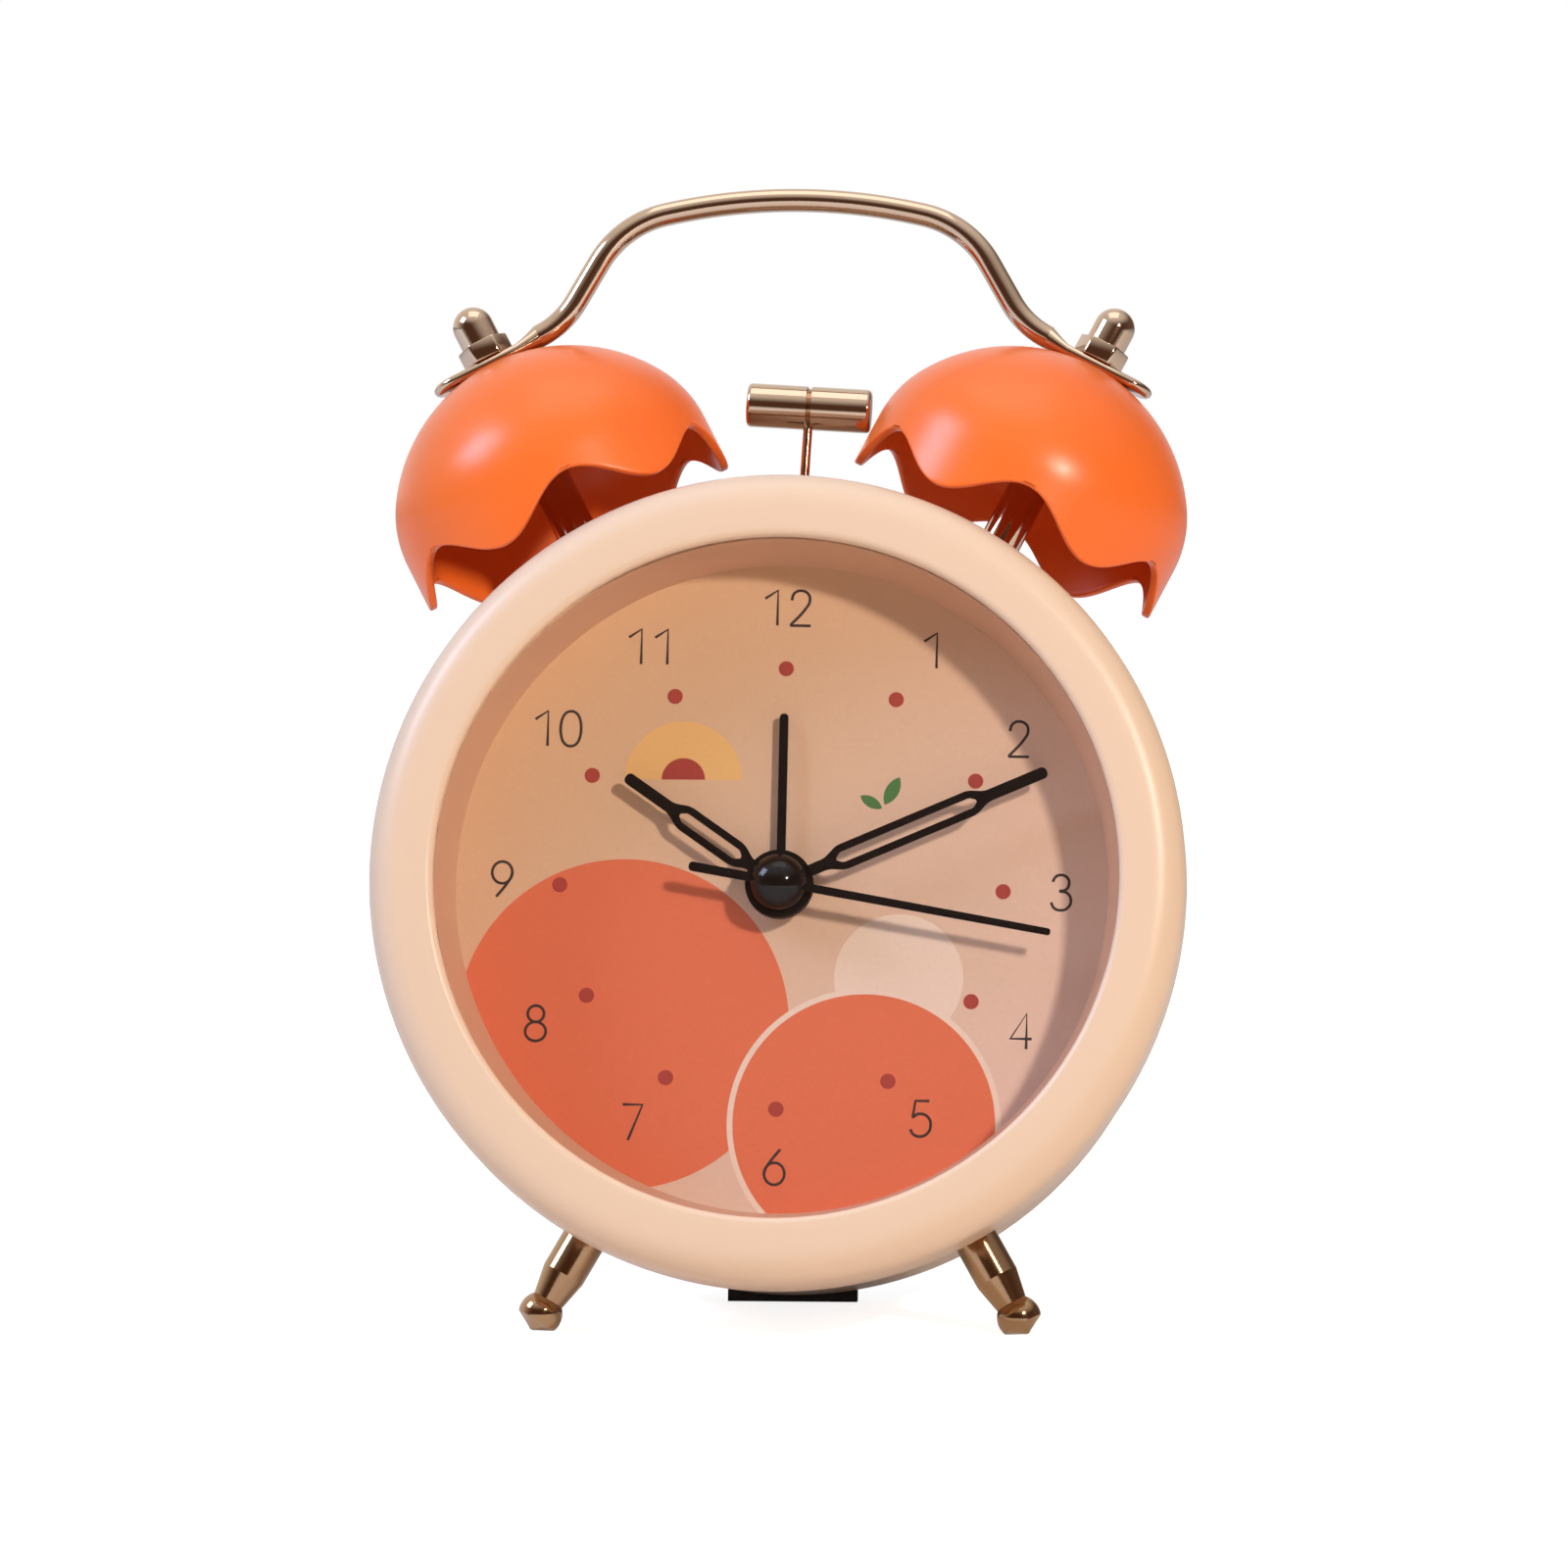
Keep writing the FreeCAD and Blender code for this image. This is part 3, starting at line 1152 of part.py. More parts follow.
def framed_hand(length, frame, tube_r, y, turn):
    """Blade with a slotted frame: hub, neck, open frame and a bar to the tip, pointing up, then turned."""
    bar = BAR_WIDTH / 2
    wide = FRAME_WIDTH / 2
    slot = FRAME_SLOT / 2
    start, end = frame
    side = [
        (bar, 0), (bar, start), (wide, start + FRAME_TAPER), (wide, end - FRAME_TAPER), (bar, end),
        (bar, length - bar),
    ]
    blade = flat_plate(side + [(-x, z) for x, z in reversed(side)], y, y + HAND_THICK)
    blade = blade.fuse(rod(0, length - bar, y, y + HAND_THICK, bar))
    near = start + FRAME_END
    far = end - FRAME_END
    inner = [(slot, near + slot), (slot, far - slot), (0, far), (-slot, far - slot), (-slot, near + slot),
             (0, near)]
    blade = blade.cut(flat_plate(inner, y - 1, y + HAND_THICK + 1))
    hand = blade.fuse(rod(0, 0, y, y + HAND_THICK, HUB_R))
    return turned_hand(holes(hand, CENTER, tube_r, y, y + HAND_THICK), turn)


def turned_hand(hand, degrees):
    """Clockwise from twelve, as seen from the front."""
    hand.rotate(ORIGIN, AXIS_Y, degrees)
    return hand


def minute_hand():
    return framed_hand(MINUTE_LENGTH, MINUTE_FRAME, CANNON_R, MINUTE_Y, MINUTE_TURN)


def hour_hand():
    return framed_hand(HOUR_LENGTH, HOUR_FRAME, HOUR_TUBE_R, HOUR_Y, HOUR_TURN)


def second_hand():
    side = [(0.5, -SECOND_TAIL), (0.45, 0), (0.36, SECOND_LENGTH)]
    blade = flat_plate(side + [(-x, z) for x, z in reversed(side)], SECOND_Y, SECOND_Y + HAND_THICK)
    hand = blade.fuse(rod(0, 0, SECOND_Y, SECOND_Y + HAND_THICK, CAP_R))
    return turned_hand(holes(hand, CENTER, ARBOR_R, SECOND_Y, SECOND_Y + HAND_THICK), SECOND_TURN)


def alarm_hand():
    half = ALARM_WIDTH / 2
    blade = block(-half, half, ALARM_Y, ALARM_Y + HAND_THICK, 0, ALARM_LENGTH - half)
    blade = blade.fuse(rod(0, ALARM_LENGTH - half, ALARM_Y, ALARM_Y + HAND_THICK, half))
    hand = blade.fuse(rod(0, 0, ALARM_Y, ALARM_Y + HAND_THICK, HUB_R - 0.2))
    return turned_hand(holes(hand, CENTER, ALARM_TUBE_R, ALARM_Y, ALARM_Y + HAND_THICK), ALARM_TURN)


def hand_cap():
    """Domed cap over the end of the second arbor."""
    top = SECOND_Y - CAP_HEIGHT
    k = math.sqrt(0.5)
    dome = turned_y([
        (0, top),
        (CAP_R * k, top + CAP_HEIGHT * (1 - k) * 0.95, "arc"),
        (CAP_R, SECOND_Y - 0.3),
        (CAP_R, SECOND_Y),
        (0, SECOND_Y),
    ])
    return dome


# ---------------------------------------------------------------- striker

def hammer_tilted(shape):
    """Turn a part of the hammer, built upright, to its lean at rest."""
    shape.rotate(V(0, 0, HAMMER_PIVOT_Z), AXIS_Y, HAMMER_REST)
    return shape


def hammer_head():
    half = HAMMER_HEAD_LENGTH / 2
    groove = HAMMER_GROOVE / 2
    r = HAMMER_HEAD_R
    head = turned_z([
        (0, -half),
        (r - 0.5, -half),
        (r, -half + 0.5),
        (r, -groove),
        (r - groove, 0),
        (r, groove),
        (r, half - 0.5),
        (r - 0.5, half),
        (0, half),
    ])
    head.rotate(ORIGIN, AXIS_Y, 90)
    head.translate(V(0, STAND_Y, HAMMER_PIVOT_Z + HAMMER_REACH))
    socket = Part.makeCylinder(HAMMER_WIRE_R, HAMMER_REACH, V(0, STAND_Y, HAMMER_PIVOT_Z))
    return hammer_tilted(head.cut(socket))


def hammer_arm():
    start = HAMMER_PIVOT_Z + LEVER_R
    wire = Part.makeCylinder(HAMMER_WIRE_R, HAMMER_REACH - LEVER_R, V(0, STAND_Y, start))
    return hammer_tilted(wire)


def hammer_lever():
    """Hub on the pivot pin, with a socket for the wire and a forked tail that the crank pin drives."""
    z = HAMMER_PIVOT_Z
    front = STAND_Y - 1.6
    hub = rod(0, z, front, FORK_LEVEL[1], LEVER_R)
    boss = Part.makeCylinder(1.3, LEVER_R + 2.4, V(0, STAND_Y, z))
    low = z - CRANK_DROP
    tail = block(-1.7, 1.7, FORK_LEVEL[0], FORK_LEVEL[1], low - 1.0, z)
    slot_half = CRANK_PIN_R + FORK_CLEAR
    slot_top = low + CRANK_THROW + CRANK_PIN_R + GAP
    slot = block(-slot_half, slot_half, FORK_LEVEL[0] - 1, FORK_LEVEL[1] + 1, low - 3, slot_top)
    lever = hub.fuse([boss, tail]).cut(slot)
    lever = lever.cut(rod(0, z, front - 1, FORK_LEVEL[1] + 1, PIVOT_R + FIT))
    wire = Part.makeCylinder(HAMMER_WIRE_R, HAMMER_REACH, V(0, STAND_Y, z + LEVER_R))
    return hammer_tilted(lever.cut(wire))


def pivot_pin():
    """Fixed pin that the hammer lever turns on, from the movement plate to the striker frame."""
    return rod(0, HAMMER_PIVOT_Z, plate_back(), FRAME_LEVEL[1], PIVOT_R)


def crank_place():
    return (0.0, HAMMER_PIVOT_Z - CRANK_DROP)


def crank_radii():
    return CRANK_TEETH * CRANK_MODULE / 2, MOTOR_TEETH * CRANK_MODULE / 2


def crank_gear():
    """Gear with the eccentric pin that swings the lever's fork. The pin sits between axle and pivot."""
    place = crank_place()
    body = gear(place, CRANK_TEETH, crank_radii()[0], CRANK_LEVEL, 0, True)
    turn = math.radians(90 + CRANK_RATIO * HAMMER_REST)
    pin_x = place[0] + CRANK_THROW * math.cos(turn)
    pin_z = place[1] + CRANK_THROW * math.sin(turn)
    body = body.fuse(rod(pin_x, pin_z, CRANK_LEVEL[1] - 0.1, FORK_LEVEL[1] + 0.2, CRANK_PIN_R))
    hub = rod(place[0], place[1], BOX_BACK + GAP, CRANK_LEVEL[0], 1.5)
    bore = rod(place[0], place[1], BOX_BACK, CRANK_LEVEL[1] - 0.4, PIVOT_R - 0.3 + FIT)
    return body.fuse(hub).cut(bore)


def crank_axle():
    """Stub pressed into the movement cover."""
    x, z = crank_place()
    return rod(x, z, BOX_BACK - 0.8, BOX_BACK, PIVOT_R).fuse(
        rod(x, z, BOX_BACK, CRANK_LEVEL[1] - 0.5, PIVOT_R - 0.3))


def motor_place():
    crank_r, pinion_r = crank_radii()
    return (crank_r + pinion_r, crank_place()[1])


def motor_pinion():
    """Motor shaft with its pinion."""
    place = motor_place()
    teeth = gear(place, MOTOR_TEETH, crank_radii()[1], CRANK_LEVEL, 180, False)
    return teeth.fuse(rod(place[0], place[1], CRANK_LEVEL[0], FRAME_LEVEL[1] + 2.0, 0.75))


def striker_motor():
    """Small can motor with flat sides and a front boss that seats in the frame."""
    x, z = motor_place()
    back = FRAME_LEVEL[1] + MOTOR_LENGTH
    can = rod(x, z, FRAME_LEVEL[1], back, MOTOR_R)
    can = can.common(block(x - MOTOR_R, x + MOTOR_R, FRAME_LEVEL[1], back, z - 0.83 * MOTOR_R, z + 0.83 * MOTOR_R))
    boss = rod(x, z, FRAME_LEVEL[0], FRAME_LEVEL[1], MOTOR_BOSS_R)
    return can.fuse(boss).cut(rod(x, z, FRAME_LEVEL[0] - 1, FRAME_LEVEL[1] + 2.0 + FIT, 0.75 + FIT))


def frame_posts():
    crank_r, pinion_r = crank_radii()
    z = HAMMER_PIVOT_Z - CRANK_DROP
    return ((-crank_r - 3.0, z), (motor_place()[0] + pinion_r + 2.5, z))


def striker_frame():
    """Bracket behind the crank: carries the motor and the rear end of the pivot pin."""
    mx, mz = motor_place()
    y0, y1 = FRAME_LEVEL
    (left, z), (right, z) = frame_posts()
    points = [
        (left - 1.8, z - 2.0), (left + 1.8, z - 3.6), (right - 1.8, z - MOTOR_R), (right + 1.8, z - 2.0),
        (right + 1.8, z + 2.5), (2.6, HAMMER_PIVOT_Z + 2.6), (-2.6, HAMMER_PIVOT_Z + 2.6), (left - 1.8, z + 2.5),
    ]
    frame = flat_plate(points, y0, y1)
    for px, pz in frame_posts():
        frame = frame.fuse(rod(px, pz, BOX_BACK, y0 + 0.1, 1.5))
    frame = holes(frame, (0, HAMMER_PIVOT_Z), PIVOT_R, y0, y1)
    return holes(frame, (mx, mz), MOTOR_BOSS_R, y0, y1)


# ---------------------------------------------------------------- all pieces

def pieces():
    """Every piece in the clock's frame, by name."""
    made = {
        "front_bezel": front_bezel(),
        "front_lens": front_lens(),
        "dial_ring": dial_ring(),
        "dial": dial(),
        "case_body": case_body(),
        "handle": handle(),
        "back_cover": back_cover(),
        "battery_door": battery_door(),
        "battery_cell": battery_cell(),
        "battery_contact_plus": battery_contact_plus(),
        "battery_contact_spring": battery_contact_spring(),
        "cover_screws": cover_screws(),
        "time_set_knob": knob("time"),
        "alarm_set_knob": knob("alarm"),
        "alarm_switch": alarm_switch(),
        "movement_plate": movement_plate(),
        "movement_cover": movement_cover(),
        "train_bridge": train_bridge(),
        "stator": stator(),
        "drive_coil": drive_coil(),
        "circuit_board": circuit_board(),
        "quartz_crystal": quartz_crystal(),
        "rotor": rotor(),
        "intermediate_wheel": intermediate_wheel(),
        "second_wheel": second_wheel(),
        "third_wheel": third_wheel(),
        "center_wheel": center_wheel(),
        "cannon_pinion": cannon_pinion(),
        "minute_wheel": minute_wheel(),
        "hour_wheel": hour_wheel(),
        "alarm_wheel": alarm_wheel(),
        "alarm_arbor": alarm_arbor(),
        "minute_hand": minute_hand(),
        "hour_hand": hour_hand(),
        "second_hand": second_hand(),
        "alarm_hand": alarm_hand(),
        "hand_cap": hand_cap(),
        "hammer_head": hammer_head(),
        "hammer_arm": hammer_arm(),
        "hammer_lever": hammer_lever(),
        "hammer_pivot_pin": pivot_pin(),
        "crank_gear": crank_gear(),
        "crank_axle": crank_axle(),
        "motor_pinion": motor_pinion(),
        "striker_motor": striker_motor(),
        "striker_frame": striker_frame(),
    }
    post_nuts = []
    leg_nuts = []
    for name, side in (("left", -1), ("right", 1)):
        made["bell_" + name] = on_post(bell(), side)
        made["bell_post_" + name] = bell_post(side)
        made["cap_nut_" + name] = on_post(cap_nut(), side)
        made["leg_" + name] = on_leg(leg(), side)
        post_nuts.append(on_post(inner_nut(STUD_R, post_nut_top()), side))
        leg_nuts.append(on_leg(inner_nut(LEG_STUD_R, leg_nut_top()), side))
    made["post_nuts"] = Part.makeCompound(post_nuts)
    made["leg_nuts"] = Part.makeCompound(leg_nuts)
    return made


def main():
    os.makedirs("parts", exist_ok=True)
    stand = standing().toMatrix()
    for name, shape in pieces().items():
        shape.transformShape(stand)
        shape.exportStep("parts/" + name + ".step")


if __name__ == "__main__":
    main()
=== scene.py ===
"""Twin-bell desk alarm clock: its finished surfaces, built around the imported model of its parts."""
import json
import math

import bmesh
import bpy
from bpy.props import FloatProperty, IntProperty, PointerProperty, StringProperty
from mathutils import Matrix, Vector


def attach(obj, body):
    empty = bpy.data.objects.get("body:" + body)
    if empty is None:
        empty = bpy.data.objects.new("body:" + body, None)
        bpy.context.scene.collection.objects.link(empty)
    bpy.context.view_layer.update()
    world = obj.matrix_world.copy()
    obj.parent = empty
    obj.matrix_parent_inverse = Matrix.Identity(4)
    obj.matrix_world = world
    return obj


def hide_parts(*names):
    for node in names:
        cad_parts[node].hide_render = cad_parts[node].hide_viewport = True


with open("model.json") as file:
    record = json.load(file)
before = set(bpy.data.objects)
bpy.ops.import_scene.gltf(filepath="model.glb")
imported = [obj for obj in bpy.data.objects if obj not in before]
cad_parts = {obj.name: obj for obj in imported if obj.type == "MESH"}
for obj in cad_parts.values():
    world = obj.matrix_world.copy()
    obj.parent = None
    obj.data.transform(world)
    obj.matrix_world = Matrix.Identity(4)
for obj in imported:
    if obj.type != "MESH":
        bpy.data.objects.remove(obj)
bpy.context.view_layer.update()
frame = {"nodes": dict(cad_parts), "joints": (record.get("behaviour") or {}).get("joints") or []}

bl_info = {
    "name": "Twin-bell alarm clock",
    "version": (1, 0, 0),
    "blender": (4, 5, 0),
    "location": "3D View > Sidebar > Clock",
    "description": "Builds the finished surfaces of a twin-bell desk alarm clock",
    "category": "Object",
}

MM = 0.001
BODY = "clock_body"

# Places in the clock's own frame, in mm: X to the right, Y from the bezel's front to the back, Z up the dial
HAND_DEPTH = 7.7       # depth of the minute hand, where its joint is placed
STAND_DEPTH = 20.0     # bells, handle and hammer
POST_TILT = 27.3       # degrees between a bell's post and upright
AIM_DROP = 5.0         # the posts aim at a line this far under the case axis
CASE_R = 40.4
BEZEL_BACK = 10.5
LENS_FRONT = 1.6
LENS_BACK = 2.8
DIAL_FRONT = 11.5
DIAL_BACK = 11.9
LEG_DEPTH = 18.5
LEG_TILT = 29.6        # degrees
PIVOT_HEIGHT = 20.0    # the hammer's pivot
HAMMER_LEAN = 3.2      # degrees
BELL_FLAT = 69.84      # the bell's flat crown, from the aim line
PRINT_TURN = 0.6       # degrees by which the dial's print sits clockwise of upright


# -------- frames

def clock_matrix():
    """Clock's own frame in the row frame, from the joint of the minute hand."""
    joint = next(j for j in frame["joints"] if j["name"] == "minute_hand_spin")
    depth = Vector(joint["axis"]).normalized()
    right = Vector((1, 0, 0))
    place = Matrix((right, depth, right.cross(depth))).transposed().to_4x4()
    place.translation = Vector(joint["pos_m"]) - depth * HAND_DEPTH * MM
    return place


CLOCK = clock_matrix()


def shifted(x, y, z):
    return Matrix.Translation((x * MM, y * MM, z * MM))


def turned_by(degrees, axis):
    return Matrix.Rotation(math.radians(degrees), 4, axis)


ON_AXIS = CLOCK @ turned_by(-90, "X")      # local Z runs back along the case axis


def on_post(side):
    """Local Z runs out along a bell's post, from the aim line."""
    return CLOCK @ shifted(0, STAND_DEPTH, -AIM_DROP) @ turned_by(side * POST_TILT, "Y")


def on_leg(side):
    """Local Z runs down a leg, from the case axis."""
    return CLOCK @ shifted(0, LEG_DEPTH, 0) @ turned_by(side * (180 - LEG_TILT), "Y")


def on_hand(node):
    depth, turn = HAND_PLACES[node]
    return CLOCK @ shifted(0, depth, 0) @ turned_by(turn, "Y")


def on_hammer():
    """Local Z runs up the hammer's wire, from its pivot."""
    return CLOCK @ shifted(0, STAND_DEPTH, PIVOT_HEIGHT) @ turned_by(HAMMER_LEAN, "Y")


# -------- colours and materials

ROUGH_DRIFT = 0.15     # share by which the roughness varies with the grain
METAL = {"Metallic": 1.0}


def linear(code):
    """Linear colour of an sRGB hex value."""
    channels = [int(code[i:i + 2], 16) / 255 for i in (1, 3, 5)]
    return [c / 12.92 if c <= 0.04045 else ((c + 0.055) / 1.055) ** 2.4 for c in channels] + [1.0]


def add(tree, kind, inputs=None, **settings):
    """Add a shader node with its settings. An input is a value, or the socket that feeds it."""
    node = tree.nodes.new("ShaderNode" + kind)
    for name, value in settings.items():
        setattr(node, name, value)
    for name, value in (inputs or {}).items():
        if isinstance(value, bpy.types.NodeSocket):
            tree.links.new(value, node.inputs[name])
        else:
            node.inputs[name].default_value = value
    return node


def remap(tree, value, low=0.0, high=1.0, to_low=0.0, to_high=1.0, kind="LINEAR"):
    """Socket that takes low..high to to_low..to_high and stays within them."""
    return add(tree, "MapRange", {
        "Value": value, "From Min": low, "From Max": high, "To Min": to_low, "To Max": to_high},
        interpolation_type=kind).outputs["Result"]


def new_material(name):
    """Empty material with its output and Object coordinates in millimetres."""
    material = bpy.data.materials.new(name)
    material.use_nodes = True
    tree = material.node_tree
    tree.nodes.clear()
    output = add(tree, "OutputMaterial")
    coordinates = add(tree, "TexCoord")
    millimetres = add(tree, "Mapping", {
        "Vector": coordinates.outputs["Object"], "Scale": (1 / MM, 1 / MM, 1 / MM)})
    return material, tree, output, millimetres.outputs["Vector"]


def surface(name, colour, rough, spread, patch, grain, bump, inputs):
    """Coated or moulded surface: its colour drifts in soft patches and a fine grain breaks up its gloss.

    Patch and grain are lengths in mm, spread is the share by which the colour drifts, and bump is in mm.
    """
    material, tree, output, mm = new_material(name)
    cloud = add(tree, "TexNoise", {"Vector": mm, "Scale": 1 / patch, "Detail": 3.0})
    fine = add(tree, "TexNoise", {"Vector": mm, "Scale": 1 / grain, "Detail": 2.0})
    base = linear(colour)
    dark = [c * (1 - spread) for c in base[:3]] + [1.0]
    light = [min(1.0, c * (1 + spread)) for c in base[:3]] + [1.0]
    tint = add(tree, "Mix", {"Factor": cloud.outputs["Fac"], "A": dark, "B": light}, data_type="RGBA")
    gloss = remap(tree, fine.outputs["Fac"], to_low=rough * (1 - ROUGH_DRIFT),
                  to_high=rough * (1 + ROUGH_DRIFT))
    relief = add(tree, "Bump", {"Height": fine.outputs["Fac"], "Distance": bump * MM, "Strength": 1.0})
    principled = add(tree, "BsdfPrincipled", {
        "Base Color": tint.outputs["Result"], "Roughness": gloss, "Normal": relief.outputs["Normal"],
        **inputs})
    tree.links.new(principled.outputs["BSDF"], output.inputs["Surface"])
    return material


MATERIALS = {}


def make_materials(colours):
    """All finishes of the clock, each named for the real material, except the legs' plating, whose name and
    colour carry a painted brown reflection.
    """
    finishes = (
        # Key, name, colour, roughness, share of colour drift, patch, grain and bump in mm, other inputs
        # Satin lacquer on pressed steel: an even pastel coat with a broad, soft highlight
        ("lacquer", "satin_lacquer_on_steel", colours.case, 0.36, 0.015, 22.0, 0.5, 0.004,
         {"Specular IOR Level": 0.4}),
        # Gloss enamel on drawn steel: a saturated coat with clear highlights
        ("enamel", "gloss_enamel_on_steel", colours.bells, 0.32, 0.03, 16.0, 0.6, 0.004,
         {"Specular IOR Level": 0.38}),
        # Bright chrome plate: a mirror with a trace of polishing haze; its warm tan colour is a painted warm
        # reflection of brown surroundings
        ("chrome", "chrome_plate", "#C8AC93", 0.09, 0.02, 6.0, 0.4, 0.002, METAL),
        # Plating on turned legs, with a soft mirror: its warmer, darker colour than chrome is a painted
        # reflection of a brown wooden table
        ("leg_plating_painted_reflection", "leg_plating_painted_brown_reflection", "#AB8865", 0.13, 0.04, 5.0, 0.4, 0.002, METAL),
        # Zinc-plated steel: grey, with a dull gloss
        ("zinc", "zinc_plated_steel", "#9C9FA2", 0.34, 0.08, 3.0, 0.3, 0.004, METAL),
        # Gloss black paint on stamped hands: a deep black with soft highlights
        ("hand_paint", "black_hand_paint", colours.hands, 0.25, 0.1, 4.0, 0.4, 0.003,
         {"Specular IOR Level": 0.35}),
        # Polished black ABS of the hub cap: a deep black with small, clear highlights
        ("cap", "polished_black_abs", colours.hands, 0.1, 0.08, 4.0, 0.4, 0.001,
         {"Specular IOR Level": 0.33}),
        # Moulded ABS with a spark-eroded texture: it breaks reflections into a dull sheen
        ("abs", "black_textured_abs", "#1D1C1D", 0.48, 0.12, 8.0, 0.35, 0.02, {}),
        # Moulded ABS of the ring behind the lens: dull, in the dial's colour
        ("ring", "dial_ring_abs", colours.ring, 0.6, 0.02, 10.0, 0.4, 0.006, {}),
        # Moulded acetal of the wheels: milky, a little translucent and waxy
        ("acetal", "white_acetal", "#E6E3DA", 0.38, 0.04, 4.0, 0.4, 0.004,
         {"Subsurface Weight": 0.15, "Subsurface Scale": 0.002}),
        # Moulded grey ABS of the movement's plates: even and dull
        ("grey_abs", "grey_abs", "#96989A", 0.45, 0.05, 8.0, 0.4, 0.012, {}),
        # Machined brass: yellow and bright, with a fine haze from the tool
        ("brass", "machined_brass", "#D8B25C", 0.22, 0.06, 3.0, 0.25, 0.003, METAL),
        # Enamelled copper wire: a red-brown, glossy winding
        ("copper", "enamelled_copper_wire", "#B0562A", 0.25, 0.12, 2.0, 0.2, 0.03, {"Metallic": 0.8}),
        # Solder mask on a glass-fibre board: a clear, deep green gloss
        ("board", "green_solder_mask", "#1D5B32", 0.3, 0.1, 3.0, 0.3, 0.006, {}),
        # Printed foil jacket of a dry cell: dark, with a half metallic gloss
        ("jacket", "battery_foil_jacket", "#2E3136", 0.28, 0.06, 6.0, 0.3, 0.004, {"Metallic": 0.5}),
        # Screen-printed inks, thin and dull
        ("numeral_ink", "brown_black_ink", colours.numerals, 0.6, 0.1, 1.5, 0.3, 0.002, {}),
        ("dot_ink", "brick_red_ink", colours.dots, 0.6, 0.06, 1.5, 0.3, 0.002, {}),
    )
    for key, *look in finishes:
        MATERIALS[key] = surface(*look)
    MATERIALS["glass"] = lens_glass()
    MATERIALS["dial"] = dial_card(colours)


def lens_glass():
    """Flat mineral glass: clear, with 4% of gloss from the front and more at a slant."""
    material, tree, output, mm = new_material("flat_mineral_glass")
    haze = add(tree, "TexNoise", {"Vector": mm, "Scale": 0.12, "Detail": 2.0})
    gloss = remap(tree, haze.outputs["Fac"], to_low=0.02, to_high=0.05)
    facing = add(tree, "LayerWeight", {"Blend": 0.5})
    grazing = add(tree, "Math", {0: facing.outputs["Facing"], 1: 5.0}, operation="POWER")    # Schlick's law
    share = remap(tree, grazing.outputs[0], to_low=0.04)
    clear = add(tree, "BsdfTransparent", {"Color": (1.0, 1.0, 1.0, 1.0)})
    shine = add(tree, "BsdfGlossy", {"Roughness": gloss})
    mixed = add(tree, "MixShader", {0: share, 1: clear.outputs[0], 2: shine.outputs[0]})
    tree.links.new(mixed.outputs[0], output.inputs["Surface"])
    return material


# -------- the dial's print

def dial_card(colours):
    """Offset-printed card: flat inks with a fine paper speckle, in a plain design of hills and discs."""
    material, tree, output, mm = new_material("printed_dial_card")
    lean = CLOCK.to_euler().x
    centre = Matrix.Rotation(-lean, 4, "X") @ (CLOCK.translation / MM)
    flat = add(tree, "Mapping", {
        "Vector": mm, "Rotation": (-lean, 0, 0), "Location": [-c for c in centre]})
    on_dial = add(tree, "VectorMath", {0: flat.outputs["Vector"], 1: (1, 0, 1)}, operation="MULTIPLY")
    place = on_dial.outputs["Vector"]
    axes = add(tree, "SeparateXYZ", {"Vector": place}).outputs

    def math_node(kind, first, second):
        return add(tree, "Math", {0: first, 1: second}, operation=kind).outputs[0]

    def inside(distance, reach):
        """1 where a distance is under a reach, with a print-sharp edge."""
        edge = 0.05
        return remap(tree, distance, reach - edge, reach + edge, 1.0, 0.0, "SMOOTHSTEP")

    def disc(x, z, radius):
        away = add(tree, "VectorMath", {0: place, 1: (x, 0, z)}, operation="DISTANCE")
        return inside(away.outputs["Value"], radius)

    def half_disc(x, z, radius):
        floor = inside(math_node("MULTIPLY", axes["Z"], -1.0), -z)
        return math_node("MULTIPLY", disc(x, z, radius), floor)

    def leaf(x, z, reach, turn):
        """Lens shape where two discs cross, pointing along a direction."""
        bend, half_width = 1.15, 0.36            # shares of the leaf's reach
        radius = reach * bend
        off = radius - reach * half_width
        across = math.radians(turn + 90)
        side = Vector((math.cos(across), math.sin(across))) * off
        first = disc(x + side.x, z + side.y, radius)
        return math_node("MULTIPLY", first, disc(x - side.x, z - side.y, radius))

    # The ground's colour runs over the dial from the top left to the lower right
    slope = add(tree, "VectorMath", {0: place, 1: (0.62, 0, -0.78)}, operation="DOT_PRODUCT")
    blend = remap(tree, slope.outputs["Value"], -34.0, 34.0)

    def ink(under, code, mask):
        return add(tree, "Mix", {"Factor": mask, "A": under, "B": linear(code)},
                   data_type="RGBA").outputs["Result"]

    print_colour = ink(linear(colours.ground), colours.ground_low, blend)
    for code, mask in (         # places and sizes in mm from the dial's middle
        (colours.pale, disc(12.5, -9.5, 6.8)),
        (colours.coral, disc(-16.5, -14.5, 17.5)),
        (colours.pale, disc(9.0, -25.0, 14.4)),
        (colours.coral, disc(9.0, -25.0, 13.8)),
        (colours.mustard, half_disc(-10.5, 11.5, 6.2)),
        (colours.dots, half_disc(-10.5, 11.5, 2.3)),
        (colours.leaf, leaf(11.6, 10.4, 2.0, 62)),
        (colours.leaf, leaf(9.4, 9.2, 1.6, 150)),
    ):
        print_colour = ink(print_colour, code, mask)
    speck = add(tree, "TexNoise", {"Vector": mm, "Scale": 2.6, "Detail": 4.0, "Roughness": 0.7})
    shade = remap(tree, speck.outputs["Fac"], 0.25, 0.75, 0.955, 1.045)
    speckled = add(tree, "VectorMath", {0: print_colour, 1: shade}, operation="MULTIPLY")
    relief = add(tree, "Bump", {"Height": speck.outputs["Fac"], "Distance": 0.002 * MM})
    principled = add(tree, "BsdfPrincipled", {
        "Base Color": speckled.outputs["Vector"], "Roughness": 0.7, "Normal": relief.outputs["Normal"]})
    tree.links.new(principled.outputs["BSDF"], output.inputs["Surface"])
    return material


# -------- shapes

